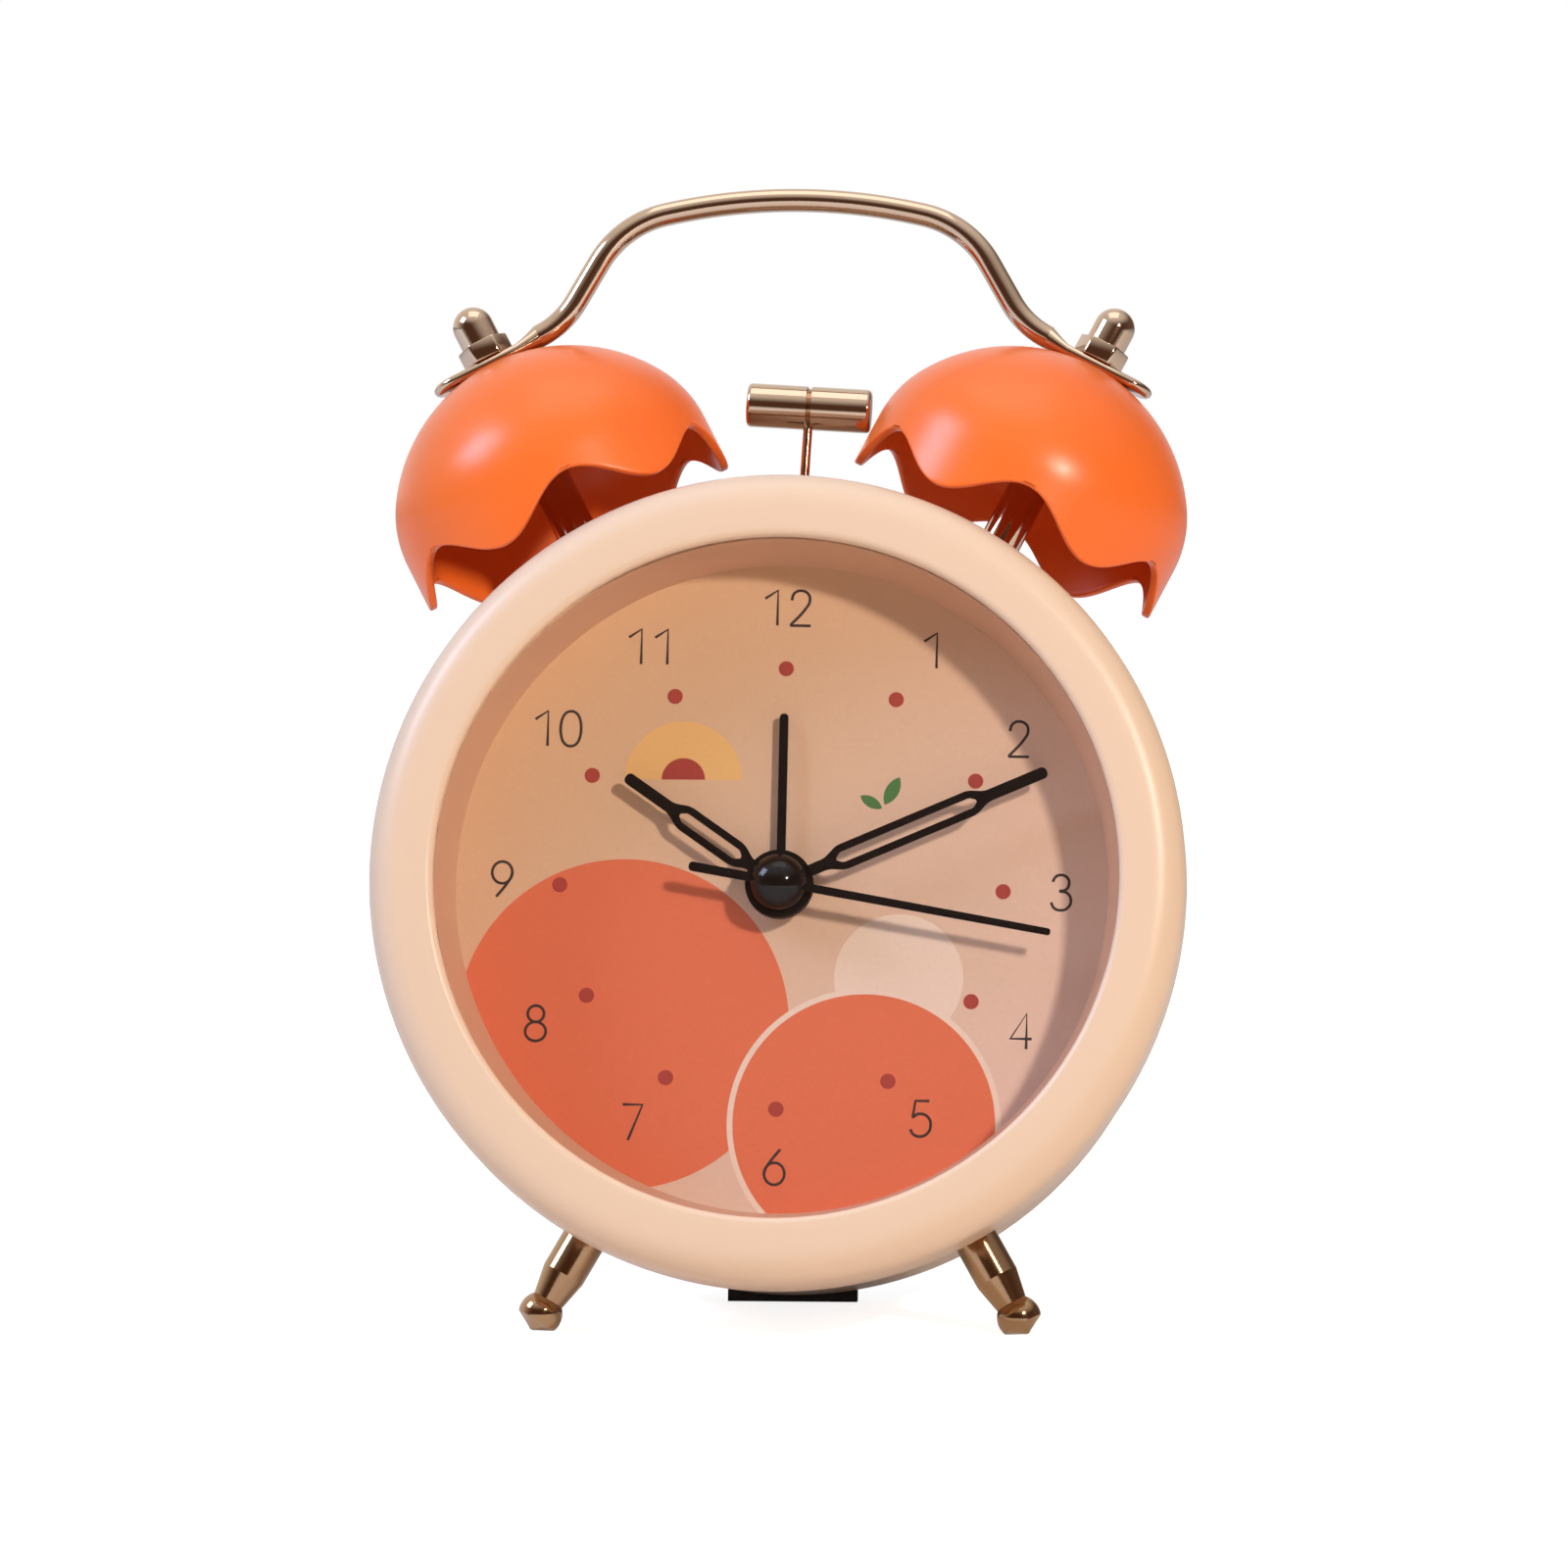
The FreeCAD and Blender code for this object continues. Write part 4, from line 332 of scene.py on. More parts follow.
def outline_wire(bm, items):
    """Wire in the XZ plane, from places in mm.

    (radius, height) is a corner, and (radius, height, degrees, steps) turns the wire's end about that centre.
    """
    last = None
    for item in items:
        if len(item) == 4:
            made = bmesh.ops.spin(bm, geom=[last], cent=(item[0] * MM, 0, item[1] * MM), axis=(0, -1, 0),
                                  angle=math.radians(item[2]), steps=item[3])
            last = next(v for v in made["geom_last"] if isinstance(v, bmesh.types.BMVert))
        else:
            corner = bm.verts.new((item[0] * MM, 0, item[1] * MM))
            if last:
                bm.edges.new((last, corner))
            last = corner


def turned(items, steps=160, close=False):
    """Shape spun about Z from an outline."""
    bm = bmesh.new()
    outline_wire(bm, items)
    if close:
        bm.verts.ensure_lookup_table()
        ends = [v for v in bm.verts if len(v.link_edges) == 1]
        bm.edges.new(ends)
    bmesh.ops.spin(bm, geom=bm.verts[:] + bm.edges[:], cent=(0, 0, 0), axis=(0, 0, 1),
                   angle=2 * math.pi, steps=steps, use_merge=True)
    return bm


def finish_piece(bm, name, place, material, body, replaces=(), sharp=35):
    """Put a shape in place as a piece of the clock that rides on a body."""
    bmesh.ops.remove_doubles(bm, verts=bm.verts[:], dist=1e-7)
    bmesh.ops.recalc_face_normals(bm, faces=bm.faces[:])
    bm.transform(place)
    for face in bm.faces:
        face.smooth = True
    for edge in bm.edges:
        edge.smooth = edge.calc_face_angle(0.0) < math.radians(sharp)
    mesh = bpy.data.meshes.new(name)
    bm.to_mesh(mesh)
    bm.free()
    return place_object(name, mesh, material, body, replaces)


def new_object(name, data):
    """Object that is linked to the scene."""
    made = bpy.data.objects.new(name, data)
    bpy.context.scene.collection.objects.link(made)
    return made


def place_object(name, mesh, material, body, replaces=()):
    mesh.materials.append(MATERIALS[material])
    piece = new_object(name, mesh)
    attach(piece, body)
    if replaces:
        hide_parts(*replaces)
    return piece


def smooth_copy(node, material, body, sharp=28):
    """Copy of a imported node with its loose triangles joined, so that its curves shade smoothly."""
    bm = bmesh.new()
    bm.from_mesh(frame["nodes"][node].data)
    bmesh.ops.remove_doubles(bm, verts=bm.verts[:], dist=2e-6)
    for face in bm.faces:
        face.smooth = True
    for edge in bm.edges:
        edge.smooth = edge.calc_face_angle(0.0) < math.radians(sharp)
    mesh = bpy.data.meshes.new(node + "_finished")
    bm.to_mesh(mesh)
    bm.free()
    return place_object(node + "_finished", mesh, material, body, (node,))


# -------- settings

def length_setting(name, description, size):
    """Setting for a length, with its default in mm."""
    return FloatProperty(name=name, description=description, default=size * MM, unit="LENGTH")


def colour_setting(name, description, code):
    return StringProperty(name=name, description=description, default=code)


class ClockSizes(bpy.types.PropertyGroup):
    """Sizes of the finished surfaces."""
    bezel_radius: length_setting("Bezel radius", "Outer radius of the bezel", 42.75)
    lip_radius: length_setting("Lip radius", "Opening in the bezel", 35.85)
    bell_radius: length_setting("Bell radius", "Widest radius of each bell", 17.8)
    bell_rise: length_setting("Bell rise", "Height of the dome over its widest circle", 15.25)
    bell_wall: length_setting("Bell wall", "Thickness of the bell's steel", 0.9)
    wave_height: length_setting("Wave height", "Half the height of the rim's waves", 2.05)
    wave_count: IntProperty(
        name="Waves", description="Waves round each bell's rim", default=6, min=3, max=12)
    wire_radius: length_setting("Wire radius", "Radius of the handle's wire", 1.25)
    handle_top: length_setting("Handle height", "Height of the wire over the case axis", 75.65)
    minute_length: length_setting("Minute hand", "Length of the minute hand", 30.5)
    hour_length: length_setting("Hour hand", "Length of the hour hand", 20.0)
    second_length: length_setting("Second hand", "Length of the second hand", 29.0)
    alarm_length: length_setting("Alarm hand", "Length of the alarm hand", 18.4)
    numeral_height: length_setting("Numeral height", "Height of the dial's numbers", 3.75)
    numeral_circle: length_setting("Numeral circle", "Radius of the circle of numbers", 29.5)
    dot_circle: length_setting("Dot circle", "Radius of the circle of hour dots", 23.4)


class ClockColours(bpy.types.PropertyGroup):
    """Colours of the finishes, as sRGB hex values."""
    case: colour_setting("Case", "Lacquer of case and bezel", "#ECCEB2")
    bells: colour_setting("Bells", "Enamel of the bells", "#FF752C")
    hands: colour_setting("Hands", "Paint of the hands", "#0E0B0B")
    ring: colour_setting("Dial ring", "Wall between lens and dial", "#DDB294")
    ground: colour_setting("Ground", "Dial colour at the top left", "#DFB389")
    ground_low: colour_setting("Lower ground", "Dial colour at the lower right", "#E8C7B5")
    coral: colour_setting("Coral", "Ink of the hills", "#E6744F")
    pale: colour_setting("Pale", "Ink of the pale disc", "#F2D8C6")
    mustard: colour_setting("Mustard", "Ink of the half disc", "#F0BC78")
    dots: colour_setting("Dots", "Ink of the hour dots", "#AC3B30")
    leaf: colour_setting("Leaf", "Ink of the leaves", "#4A7A3F")
    numerals: colour_setting("Numerals", "Ink of the numbers", "#2C1816")


# -------- case and front

class CLOCK_OT_case(bpy.types.Operator):
    """Bezel, lens, dial ring and case"""
    bl_idname = "clock.case"
    bl_label = "Case and bezel"

    def execute(self, context):
        sizes = context.scene.clock_sizes
        outer = sizes.bezel_radius / MM
        lip = sizes.lip_radius / MM
        bore = CASE_R + 0.02          # the bezel's inside, which grips the case
        rebate = lip + 2.15           # the step behind the lip, which holds the lens
        rebate_back = 4.0
        front, back, edge = 3.4, 0.6, 0.8        # rounding of the bezel's front, its back and its lip
        bezel = turned([
            (lip + edge, 0), (outer - front, 0), (outer - front, front, 90, 14), (outer, BEZEL_BACK - back),
            (outer - back, BEZEL_BACK - back, 90, 5), (bore, BEZEL_BACK), (bore, rebate_back),
            (rebate, rebate_back), (rebate, LENS_FRONT), (lip, LENS_FRONT), (lip, edge),
            (lip + edge, edge, 90, 8),
        ], steps=256)
        finish_piece(bezel, "bezel_ring", ON_AXIS, "lacquer", BODY, ("front_bezel",))
        rim = lip + 2.1               # outside of the lens and of the dial ring
        wall_foot = 34.4              # the dial ring's opening at the dial
        lens = turned([(0, LENS_FRONT), (rim, LENS_FRONT), (rim, LENS_BACK), (0, LENS_BACK)], steps=128)
        finish_piece(lens, "flat_lens", ON_AXIS, "glass", BODY, ("front_lens",))
        ring = turned([(lip, LENS_BACK), (rim, LENS_BACK), (rim, DIAL_FRONT), (wall_foot, DIAL_FRONT)],
                      steps=256, close=True)
        finish_piece(ring, "dial_wall", ON_AXIS, "ring", BODY, ("dial_ring",))
        smooth_copy("case_body", "lacquer", BODY)
        return {"FINISHED"}


# -------- dial

# Strokes of each digit: their kind, and their points right and up in shares of the digit's height
NUMERALS = {
    "0": [("loop", [(0.0, 0.5), (0.29, 1.0), (0.58, 0.5), (0.29, 0.0)])],
    "1": [("line", [(0.02, 0.76), (0.38, 1.0), (0.38, 0.0)])],
    "2": [("curve", [(0.03, 0.72), (0.1, 0.92), (0.29, 1.0), (0.5, 0.9), (0.54, 0.7), (0.44, 0.5),
                     (0.0, 0.0)]),
          ("line", [(0.0, 0.0), (0.58, 0.0)])],
    "3": [("curve", [(0.05, 0.8), (0.13, 0.94), (0.28, 1.0), (0.46, 0.92), (0.51, 0.76), (0.43, 0.59),
                     (0.24, 0.54)]),
          ("curve", [(0.24, 0.54), (0.47, 0.48), (0.57, 0.28), (0.48, 0.07), (0.28, 0.0), (0.1, 0.06),
                     (0.01, 0.22)])],
    "4": [("line", [(0.45, 0.0), (0.45, 1.0), (0.0, 0.29), (0.6, 0.29)])],
    "5": [("line", [(0.52, 1.0), (0.13, 1.0), (0.06, 0.52)]),
          ("curve", [(0.06, 0.52), (0.16, 0.61), (0.3, 0.64), (0.5, 0.54), (0.57, 0.33), (0.48, 0.09),
                     (0.27, 0.0), (0.09, 0.06), (0.0, 0.2)])],
    "6": [("loop", [(0.0, 0.31), (0.29, 0.62), (0.57, 0.31), (0.29, 0.0)]),
          ("curve", [(0.44, 1.0), (0.2, 0.7), (0.04, 0.45), (0.0, 0.31)])],
    "7": [("line", [(0.0, 1.0), (0.56, 1.0), (0.17, 0.0)])],
    "8": [("loop", [(0.06, 0.77), (0.29, 1.0), (0.52, 0.77), (0.29, 0.54)]),
          ("loop", [(0.0, 0.27), (0.29, 0.54), (0.58, 0.27), (0.29, 0.0)])],
    "9": [("loop", [(0.0, 0.69), (0.29, 1.0), (0.57, 0.69), (0.29, 0.38)]),
          ("curve", [(0.57, 0.69), (0.53, 0.55), (0.37, 0.3), (0.13, 0.0)])],
}
# Where a number leaves its circle, in mm right and up
NUMERAL_OFF = {1: (0.8, 0.0), 2: (-0.8, 1.5), 5: (0.5, 1.4), 7: (-0.3, 0.5), 9: (0.0, 0.5), 10: (1.5, 1.9),
               11: (0.4, 0.0), 12: (0.0, 0.4)}
HOUR_ANGLE = math.radians(30)
DIGIT_WIDTH = 0.58     # share of the digit's height
DIGIT_PITCH = 0.74     # from one digit to the next, as a share of their height
STROKE = 0.31          # width of a numeral's line, mm
INK = 0.03             # height of printed ink over the dial, mm
DOT_R = 0.82           # mm


def numeral_mesh(text, height):
    """Number drawn with a round pen, centred at the origin in the XZ plane; the dial flattens it to a film of
    ink afterwards.
    """
    curve = bpy.data.curves.new("numeral_strokes", "CURVE")
    curve.dimensions = "3D"
    curve.bevel_depth = STROKE * MM / 2
    curve.bevel_resolution = 3
    curve.use_fill_caps = True
    curve.resolution_u = 8
    start = -(DIGIT_PITCH * (len(text) - 1) + DIGIT_WIDTH) / 2
    for index, digit in enumerate(text):
        for kind, points in NUMERALS[digit]:
            spline = curve.splines.new("BEZIER")
            spline.bezier_points.add(len(points) - 1)
            spline.use_cyclic_u = kind == "loop"
            for point, (x, z) in zip(spline.bezier_points, points):
                point.co = ((start + DIGIT_PITCH * index + x) * height, 0, (z - 0.5) * height)
                handle = "VECTOR" if kind == "line" else "AUTO"
                point.handle_left_type = handle
                point.handle_right_type = handle
    holder = new_object("numeral_strokes", curve)
    bpy.context.view_layer.update()
    mesh = bpy.data.meshes.new_from_object(holder)
    bpy.data.objects.remove(holder)
    bpy.data.curves.remove(curve)
    return mesh


class CLOCK_OT_dial(bpy.types.Operator):
    """Dial card with its printed numbers and hour dots"""
    bl_idname = "clock.dial"
    bl_label = "Dial"

    def execute(self, context):
        sizes = context.scene.clock_sizes
        hole, rim = 2.9, 37.95
        card = turned([(hole, DIAL_FRONT), (rim, DIAL_FRONT), (rim, DIAL_BACK), (hole, DIAL_BACK)],
                      steps=192, close=True)
        finish_piece(card, "dial_card", ON_AXIS, "dial", BODY, ("dial",))
        face = CLOCK @ shifted(0, DIAL_FRONT, 0) @ turned_by(PRINT_TURN, "Y")
        numbers = bmesh.new()
        for hour in range(1, 13):
            angle = hour * HOUR_ANGLE
            mesh = numeral_mesh(str(hour), sizes.numeral_height)
            start = len(numbers.verts)
            numbers.from_mesh(mesh)
            bpy.data.meshes.remove(mesh)
            numbers.verts.ensure_lookup_table()
            made = numbers.verts[start:]
            bmesh.ops.scale(numbers, vec=(1, 2 * INK / STROKE, 1), verts=made)
            right, up = NUMERAL_OFF.get(hour, (0.0, 0.0))
            bmesh.ops.translate(numbers, verts=made, vec=(
                math.sin(angle) * sizes.numeral_circle + right * MM, 0,
                math.cos(angle) * sizes.numeral_circle + up * MM))
        finish_piece(numbers, "dial_numbers", face, "numeral_ink", BODY, ())
        dots = bmesh.new()
        for hour in range(12):
            angle = hour * HOUR_ANGLE
            middle = Vector((math.sin(angle), 0, math.cos(angle))) * sizes.dot_circle
            place = Matrix.Translation(middle) @ turned_by(90, "X")
            bmesh.ops.create_cone(dots, cap_ends=True, segments=32, radius1=DOT_R * MM,
                                  radius2=(DOT_R - 0.02) * MM, depth=2 * INK * MM, matrix=place)
        finish_piece(dots, "hour_dots", face, "dot_ink", BODY, ())
        return {"FINISHED"}


# -------- hands

HAND_THICK = 0.3       # mm
# Depth of each hand in mm, and its degrees clockwise from 12
HAND_PLACES = {"second_hand": (6.5, 100.2), "minute_hand": (HAND_DEPTH, 66.7), "hour_hand": (8.9, 305.0),
               "alarm_hand": (10.1, 0.5)}


def stamped(loops):
    """Hand in the XZ plane from closed loops of (x, z, round) corners in mm. Inner loops are pierced."""
    bm = bmesh.new()
    for loop in loops:
        corners = [bm.verts.new((x * MM, 0, z * MM)) for x, z, _ in loop]
        for first, second in zip(corners, corners[1:] + corners[:1]):
            bm.edges.new((first, second))
        for corner, (_, _, size) in zip(corners, loop):
            if size:
                bmesh.ops.bevel(bm, geom=[corner], offset=size * MM, offset_type="OFFSET", segments=5,
                                profile=0.5, affect="VERTICES", material=-1)
    bmesh.ops.triangle_fill(bm, edges=bm.edges[:], use_beauty=True)
    grown = bmesh.ops.extrude_face_region(bm, geom=bm.faces[:])
    moved = [v for v in grown["geom"] if isinstance(v, bmesh.types.BMVert)]
    bmesh.ops.translate(bm, verts=moved, vec=(0, HAND_THICK * MM, 0))
    return bm


def add_eye(hand, hole, rim):
    """Join the ring round the arbor to a hand. Takes radii in mm."""
    ring = turned([(hole, 0), (rim, 0), (rim, HAND_THICK), (hole, HAND_THICK)], steps=64, close=True)
    add_shape(hand, ring, turned_by(-90, "X"))


def mirrored(right_side):
    """Closed loop from the corners of its right-hand side, listed upwards."""
    return right_side + [(-x, z, size) for x, z, size in reversed(right_side)]


def framed_blade(length, start, end):
    """Loops of a hand with a slotted frame, from start to end, between its neck and the bar of its tip."""
    bar, wide, slot, point = 0.62, 1.38, 0.57, 0.14        # half widths
    taper, rim = 1.6, 1.15
    outside = mirrored([(bar, 0, 0), (bar, start, 0.4), (wide, start + taper, 0.5), (wide, end - taper, 0.5),
                        (bar, end, 0.4), (bar, length, 0.55)])
    near, far = start + rim, end - rim
    inside = mirrored([(point, near, 0.05), (slot, near + slot, 0.2), (slot, far - slot, 0.2),
                       (point, far, 0.05)])
    return [outside, inside]


def soften(piece, width, segments=2):
    """Round the sharp edges a little, by a width in mm."""
    bevel = piece.modifiers.new("soft_edges", "BEVEL")
    bevel.width = width * MM
    bevel.segments = segments
    bevel.limit_method = "ANGLE"
    bevel.angle_limit = math.radians(40)


class CLOCK_OT_hands(bpy.types.Operator):
    """Minute, hour, second and alarm hands with their hub"""
    bl_idname = "clock.hands"
    bl_label = "Hands"

    def execute(self, context):
        sizes = context.scene.clock_sizes
        minute = stamped(framed_blade(sizes.minute_length / MM, 5.4, 23.6))
        add_eye(minute, 1.75, 3.6)
        hour = stamped(framed_blade(sizes.hour_length / MM, 3.9, 14.1))
        add_eye(hour, 1.75, 3.6)
        second = stamped([mirrored([(0.5, -9.6, 0.4), (0.46, 0, 0), (0.37, sizes.second_length / MM, 0.3)])])
        alarm = stamped([mirrored([(0.47, 0, 0), (0.47, sizes.alarm_length / MM, 0.42)])])
        add_eye(alarm, 2.4, 3.4)
        for hand, node, body, rounding in (
            (minute, "minute_hand", "minute_body", 0.08), (hour, "hour_hand", "hour_body", 0.08),
            (second, "second_hand", "second_body", 0.06), (alarm, "alarm_hand", "alarm_body", 0.06),
        ):
            piece = finish_piece(hand, node + "_stamped", on_hand(node), "hand_paint", body, (node,))
            soften(piece, rounding)
        finish_piece(hub_cap(), "hub_cap", ON_AXIS, "cap", "second_body", ("hand_cap",))
        return {"FINISHED"}


def hub_cap():
    """Domed cap: a spherical crown on a short straight skirt."""
    radius, rise, skirt, back = 2.9, 1.6, 6.2, 6.5
    ball = (radius ** 2 + rise ** 2) / (2 * rise)
    spread = math.degrees(math.asin(radius / ball))
    return turned([(0, skirt - rise), (0, skirt - rise + ball, spread, 16), (radius, back), (0, back)],
                  steps=96)


def add_shape(bm, other, place):
    """Join another shape into a mesh."""
    other.transform(place)
    mesh = bpy.data.meshes.new("joined")
    other.to_mesh(mesh)
    other.free()
    bm.from_mesh(mesh)
    bpy.data.meshes.remove(mesh)


# -------- bells, posts and nuts

class CLOCK_OT_bells(bpy.types.Operator):
    """Wavy-rimmed bells on their posts, with acorn nuts"""
    bl_idname = "clock.bells"
    bl_label = "Bells"

    def execute(self, context):
        sizes = context.scene.clock_sizes
        for side, word in ((-1, "left"), (1, "right")):
            bell = finish_piece(bell_dome(sizes), "bell_dome_" + word, on_post(side), "enamel", BODY,
                                ("bell_" + word,), sharp=50)
            wall = bell.modifiers.new("wall", "SOLIDIFY")
            wall.thickness = sizes.bell_wall
            wall.offset = -1.0
            wall.use_even_offset = True
            soften(bell, 0.22, 3)
            finish_piece(bell_post(), "bell_post_turned_" + word, on_post(side), "chrome", BODY,
                         ("bell_post_" + word,))
            nut = acorn_nut(BELL_FLAT + 2 * EYE_HALF_THICK)
            finish_piece(nut, "acorn_nut_" + word, on_post(side), "chrome", BODY, ("cap_nut_" + word,))
        return {"FINISHED"}


def bell_dome(sizes):
    """Outer skin of a bell: flat crown, crown arc, shoulder arc and a skirt drawn down to a wavy rim."""
    centre = 54.94             # height of the widest circle
    rim = 49.14                # lowest point of the rim
    mean = 51.19               # middle of the waves
    wave_turn = math.radians(-24.0)
    skirt_rows = 8
    hole = 1.6
    shoulder = 12.0            # radius of the shoulder's arc
    radius = sizes.bell_radius / MM
    rise = sizes.bell_rise / MM
    crown = ((radius - shoulder) ** 2 + rise ** 2 - shoulder ** 2) / (2 * (rise - shoulder))
    crown_centre = centre + rise - crown
    slope = math.degrees(math.atan2(centre - crown_centre, radius - shoulder))
    flat = math.degrees(math.asin((BELL_FLAT - crown_centre) / crown))
    flat_r = crown * math.cos(math.radians(flat))
    rows = [(radius, centre + (rim - centre) * k / skirt_rows) for k in range(1, skirt_rows + 1)]
    bm = turned([(hole, BELL_FLAT), (flat_r, BELL_FLAT), (0, crown_centre, slope - flat, 16),
                 (radius - shoulder, centre, -slope, 10)] + rows, steps=240)
    for vert in bm.verts:
        depth = (centre * MM - vert.co.z) / ((centre - rim) * MM)
        if depth > 0:
            around = math.atan2(vert.co.x, -vert.co.y) - wave_turn
            edge = mean * MM - sizes.wave_height * math.cos(sizes.wave_count * around)
            vert.co.z = centre * MM + (edge - centre * MM) * depth
    return bm


def bell_post():
    """Turned post with a thinner end, which passes through bell and handle into the nut."""
    radius, end_radius = 2.2, 1.5
    foot, shoulder, end = 42.0, 68.84, 72.0
    return turned([(0, foot), (radius, foot), (radius, shoulder), (end_radius, shoulder), (end_radius, end),
                   (0, end)], steps=64)


def acorn_nut(seat):
    """Acorn nut: a hexagon with eased corners under a domed end."""
    corner_r = 5.0 / math.sqrt(3)        # 5 mm across the flats
    thick, dome_r, height = 2.1, 2.2, 6.3
    nut = bmesh.new()
    bmesh.ops.create_cone(nut, cap_ends=True, segments=6, radius1=corner_r * MM, radius2=corner_r * MM,
                          depth=thick * MM, matrix=shifted(0, 0, seat + thick / 2))
    bmesh.ops.rotate(nut, verts=nut.verts[:], cent=(0, 0, 0), matrix=turned_by(30, "Z").to_3x3())
    bmesh.ops.bevel(nut, geom=nut.edges[:], offset=0.22 * MM, offset_type="OFFSET", segments=2, profile=0.5,
                    affect="EDGES", material=-1)
    top = seat + height
    inside = seat + thick - 0.1          # the dome starts a little inside the hexagon
    dome = turned([(0, top), (0, top - dome_r, -90, 14), (dome_r, inside), (0, inside)], steps=48)
    add_shape(nut, dome, Matrix.Identity(4))
    return nut


# -------- handle

# From the middle of the bow outwards: radius, degrees and steps of a bend, or 0 and the length of a run
BENDS = ((62.0, 12.935, 14), (11.0, 47.565, 14), (0, 4.916, 1), (-9.5, 33.2, 10), (0, 0.068, 1))
WIRE_SIDES = 32
EYE_START = -3.2       # where the wire is pressed flat, measured outwards from the post
EYE_RUN = 7.6          # from there to the middle of the eye's round end
EYE_HALF_WIDTH = 2.5
EYE_HALF_THICK = 0.55


class CLOCK_OT_handle(bpy.types.Operator):
    """Bent wire handle with flattened eyes"""
    bl_idname = "clock.handle"
    bl_label = "Handle"

    def execute(self, context):
        finish_piece(bent_wire(context.scene.clock_sizes), "handle_wire", CLOCK, "chrome", BODY, ("handle",),
                     sharp=60)
        return {"FINISHED"}


def bent_wire(sizes):
    """Round wire bent from the middle outwards, pressed into a flat eye at its end, and mirrored."""
    bm = bmesh.new()
    at = Vector((0, STAND_DEPTH * MM, sizes.handle_top))
    made = bmesh.ops.create_circle(bm, segments=WIRE_SIDES, radius=sizes.wire_radius,
                                   matrix=Matrix.Translation(at) @ turned_by(90, "Y"))
    ring = edges_between(bm, made["verts"])
    heading = 0.0
    for radius, amount, steps in BENDS:
        if radius:
            turn = math.radians(math.copysign(amount, radius))
            centre = at - Vector((math.sin(heading), 0, math.cos(heading))) * radius * MM
            ring = spun(bm, ring, centre, (0, 1, 0), turn, steps)
            at = centre + Matrix.Rotation(turn, 3, "Y") @ (at - centre)
            heading += turn
        else:
            run = Vector((math.cos(heading), 0, -math.sin(heading))) * amount * MM
            ring = pushed(bm, ring, run)
            at = at + run
    eye = (shifted(0, STAND_DEPTH, -AIM_DROP) @ turned_by(POST_TILT, "Y")
           @ shifted(0, 0, BELL_FLAT + EYE_HALF_THICK))
    made = bmesh.ops.create_circle(bm, segments=WIRE_SIDES, radius=1.0, matrix=turned_by(90, "Y"))
    for vert in made["verts"]:
        wide, high = flat_section(math.atan2(vert.co.z, vert.co.y))
        vert.co = eye @ (Vector((EYE_START, wide, high)) * MM)
    flat = edges_between(bm, made["verts"])
    bmesh.ops.bridge_loops(bm, edges=ring + flat)
    flat = pushed(bm, flat, eye.to_3x3() @ Vector((EYE_RUN * MM, 0, 0)))
    far_half = [e for e in flat if all(v.co.y > (STAND_DEPTH - 0.001) * MM for v in e.verts)]
    round_end = eye @ Vector(((EYE_START + EYE_RUN) * MM, 0, 0))
    spun(bm, far_half, round_end, eye.to_3x3() @ Vector((0, 0, 1)), -math.pi, 16)
    bmesh.ops.mirror(bm, geom=bm.verts[:] + bm.edges[:] + bm.faces[:], matrix=Matrix(), merge_dist=1e-6,
                     axis="X")
    return bm


def edges_between(bm, verts):
    chosen = set(verts)
    return [e for e in bm.edges if all(v in chosen for v in e.verts)]


def spun(bm, ring, centre, axis, angle, steps):
    """Turn a ring of edges about an axis, and give the ring at the far end."""
    made = bmesh.ops.spin(bm, geom=ring, cent=centre, axis=axis, angle=angle, steps=steps)
    return [e for e in made["geom_last"] if isinstance(e, bmesh.types.BMEdge)]


def pushed(bm, ring, run):
    """Draw a ring of edges along a straight run, and give the ring at the far end."""
    made = bmesh.ops.extrude_edge_only(bm, edges=ring)
    moved = [v for v in made["geom"] if isinstance(v, bmesh.types.BMVert)]
    bmesh.ops.translate(bm, verts=moved, vec=run)
    return edges_between(bm, moved)


def flat_section(around):
    """Point of the eye's section, flat with round sides, from the angle round the wire."""
    edge = 0.63          # where the flat meets the round side, as a cosine
    flat_half = EYE_HALF_WIDTH - EYE_HALF_THICK
    wide, high = math.cos(around), math.sin(around)
    if abs(wide) < edge:
        return flat_half * wide / edge, math.copysign(EYE_HALF_THICK, high)
    turn = math.asin(high) * (math.pi / 2) / math.acos(edge)
    return math.copysign(flat_half + EYE_HALF_THICK * math.cos(turn), wide), EYE_HALF_THICK * math.sin(turn)


# -------- hammer and legs

class CLOCK_OT_hammer(bpy.types.Operator):
    """Hammer head and its wire"""
    bl_idname = "clock.hammer"
    bl_label = "Hammer"

    def execute(self, context):
        half, radius, edge = 6.65, 2.35, 0.5
        groove_half, groove_deep = 0.28, 0.3
        head = turned([(0, -half), (radius - edge, -half), (radius - edge, -half + edge, 90, 5),
                       (radius, -groove_half), (radius - groove_deep, 0), (radius, groove_half),
                       (radius, half - edge), (radius - edge, half - edge, 90, 5), (0, half)], steps=64)
        head_height = 33.0
        across = on_hammer() @ shifted(0, 0, head_height) @ turned_by(90, "Y")
        finish_piece(head, "hammer_barrel", across, "chrome", "hammer_body", ("hammer_head",))
        wire_radius, low, high = 0.5, 1.8, 32.5
        wire = turned([(0, low), (wire_radius, low), (wire_radius, high), (0, high)], steps=24)
        finish_piece(wire, "hammer_wire", on_hammer(), "chrome", "hammer_body", ("hammer_arm",))
        return {"FINISHED"}


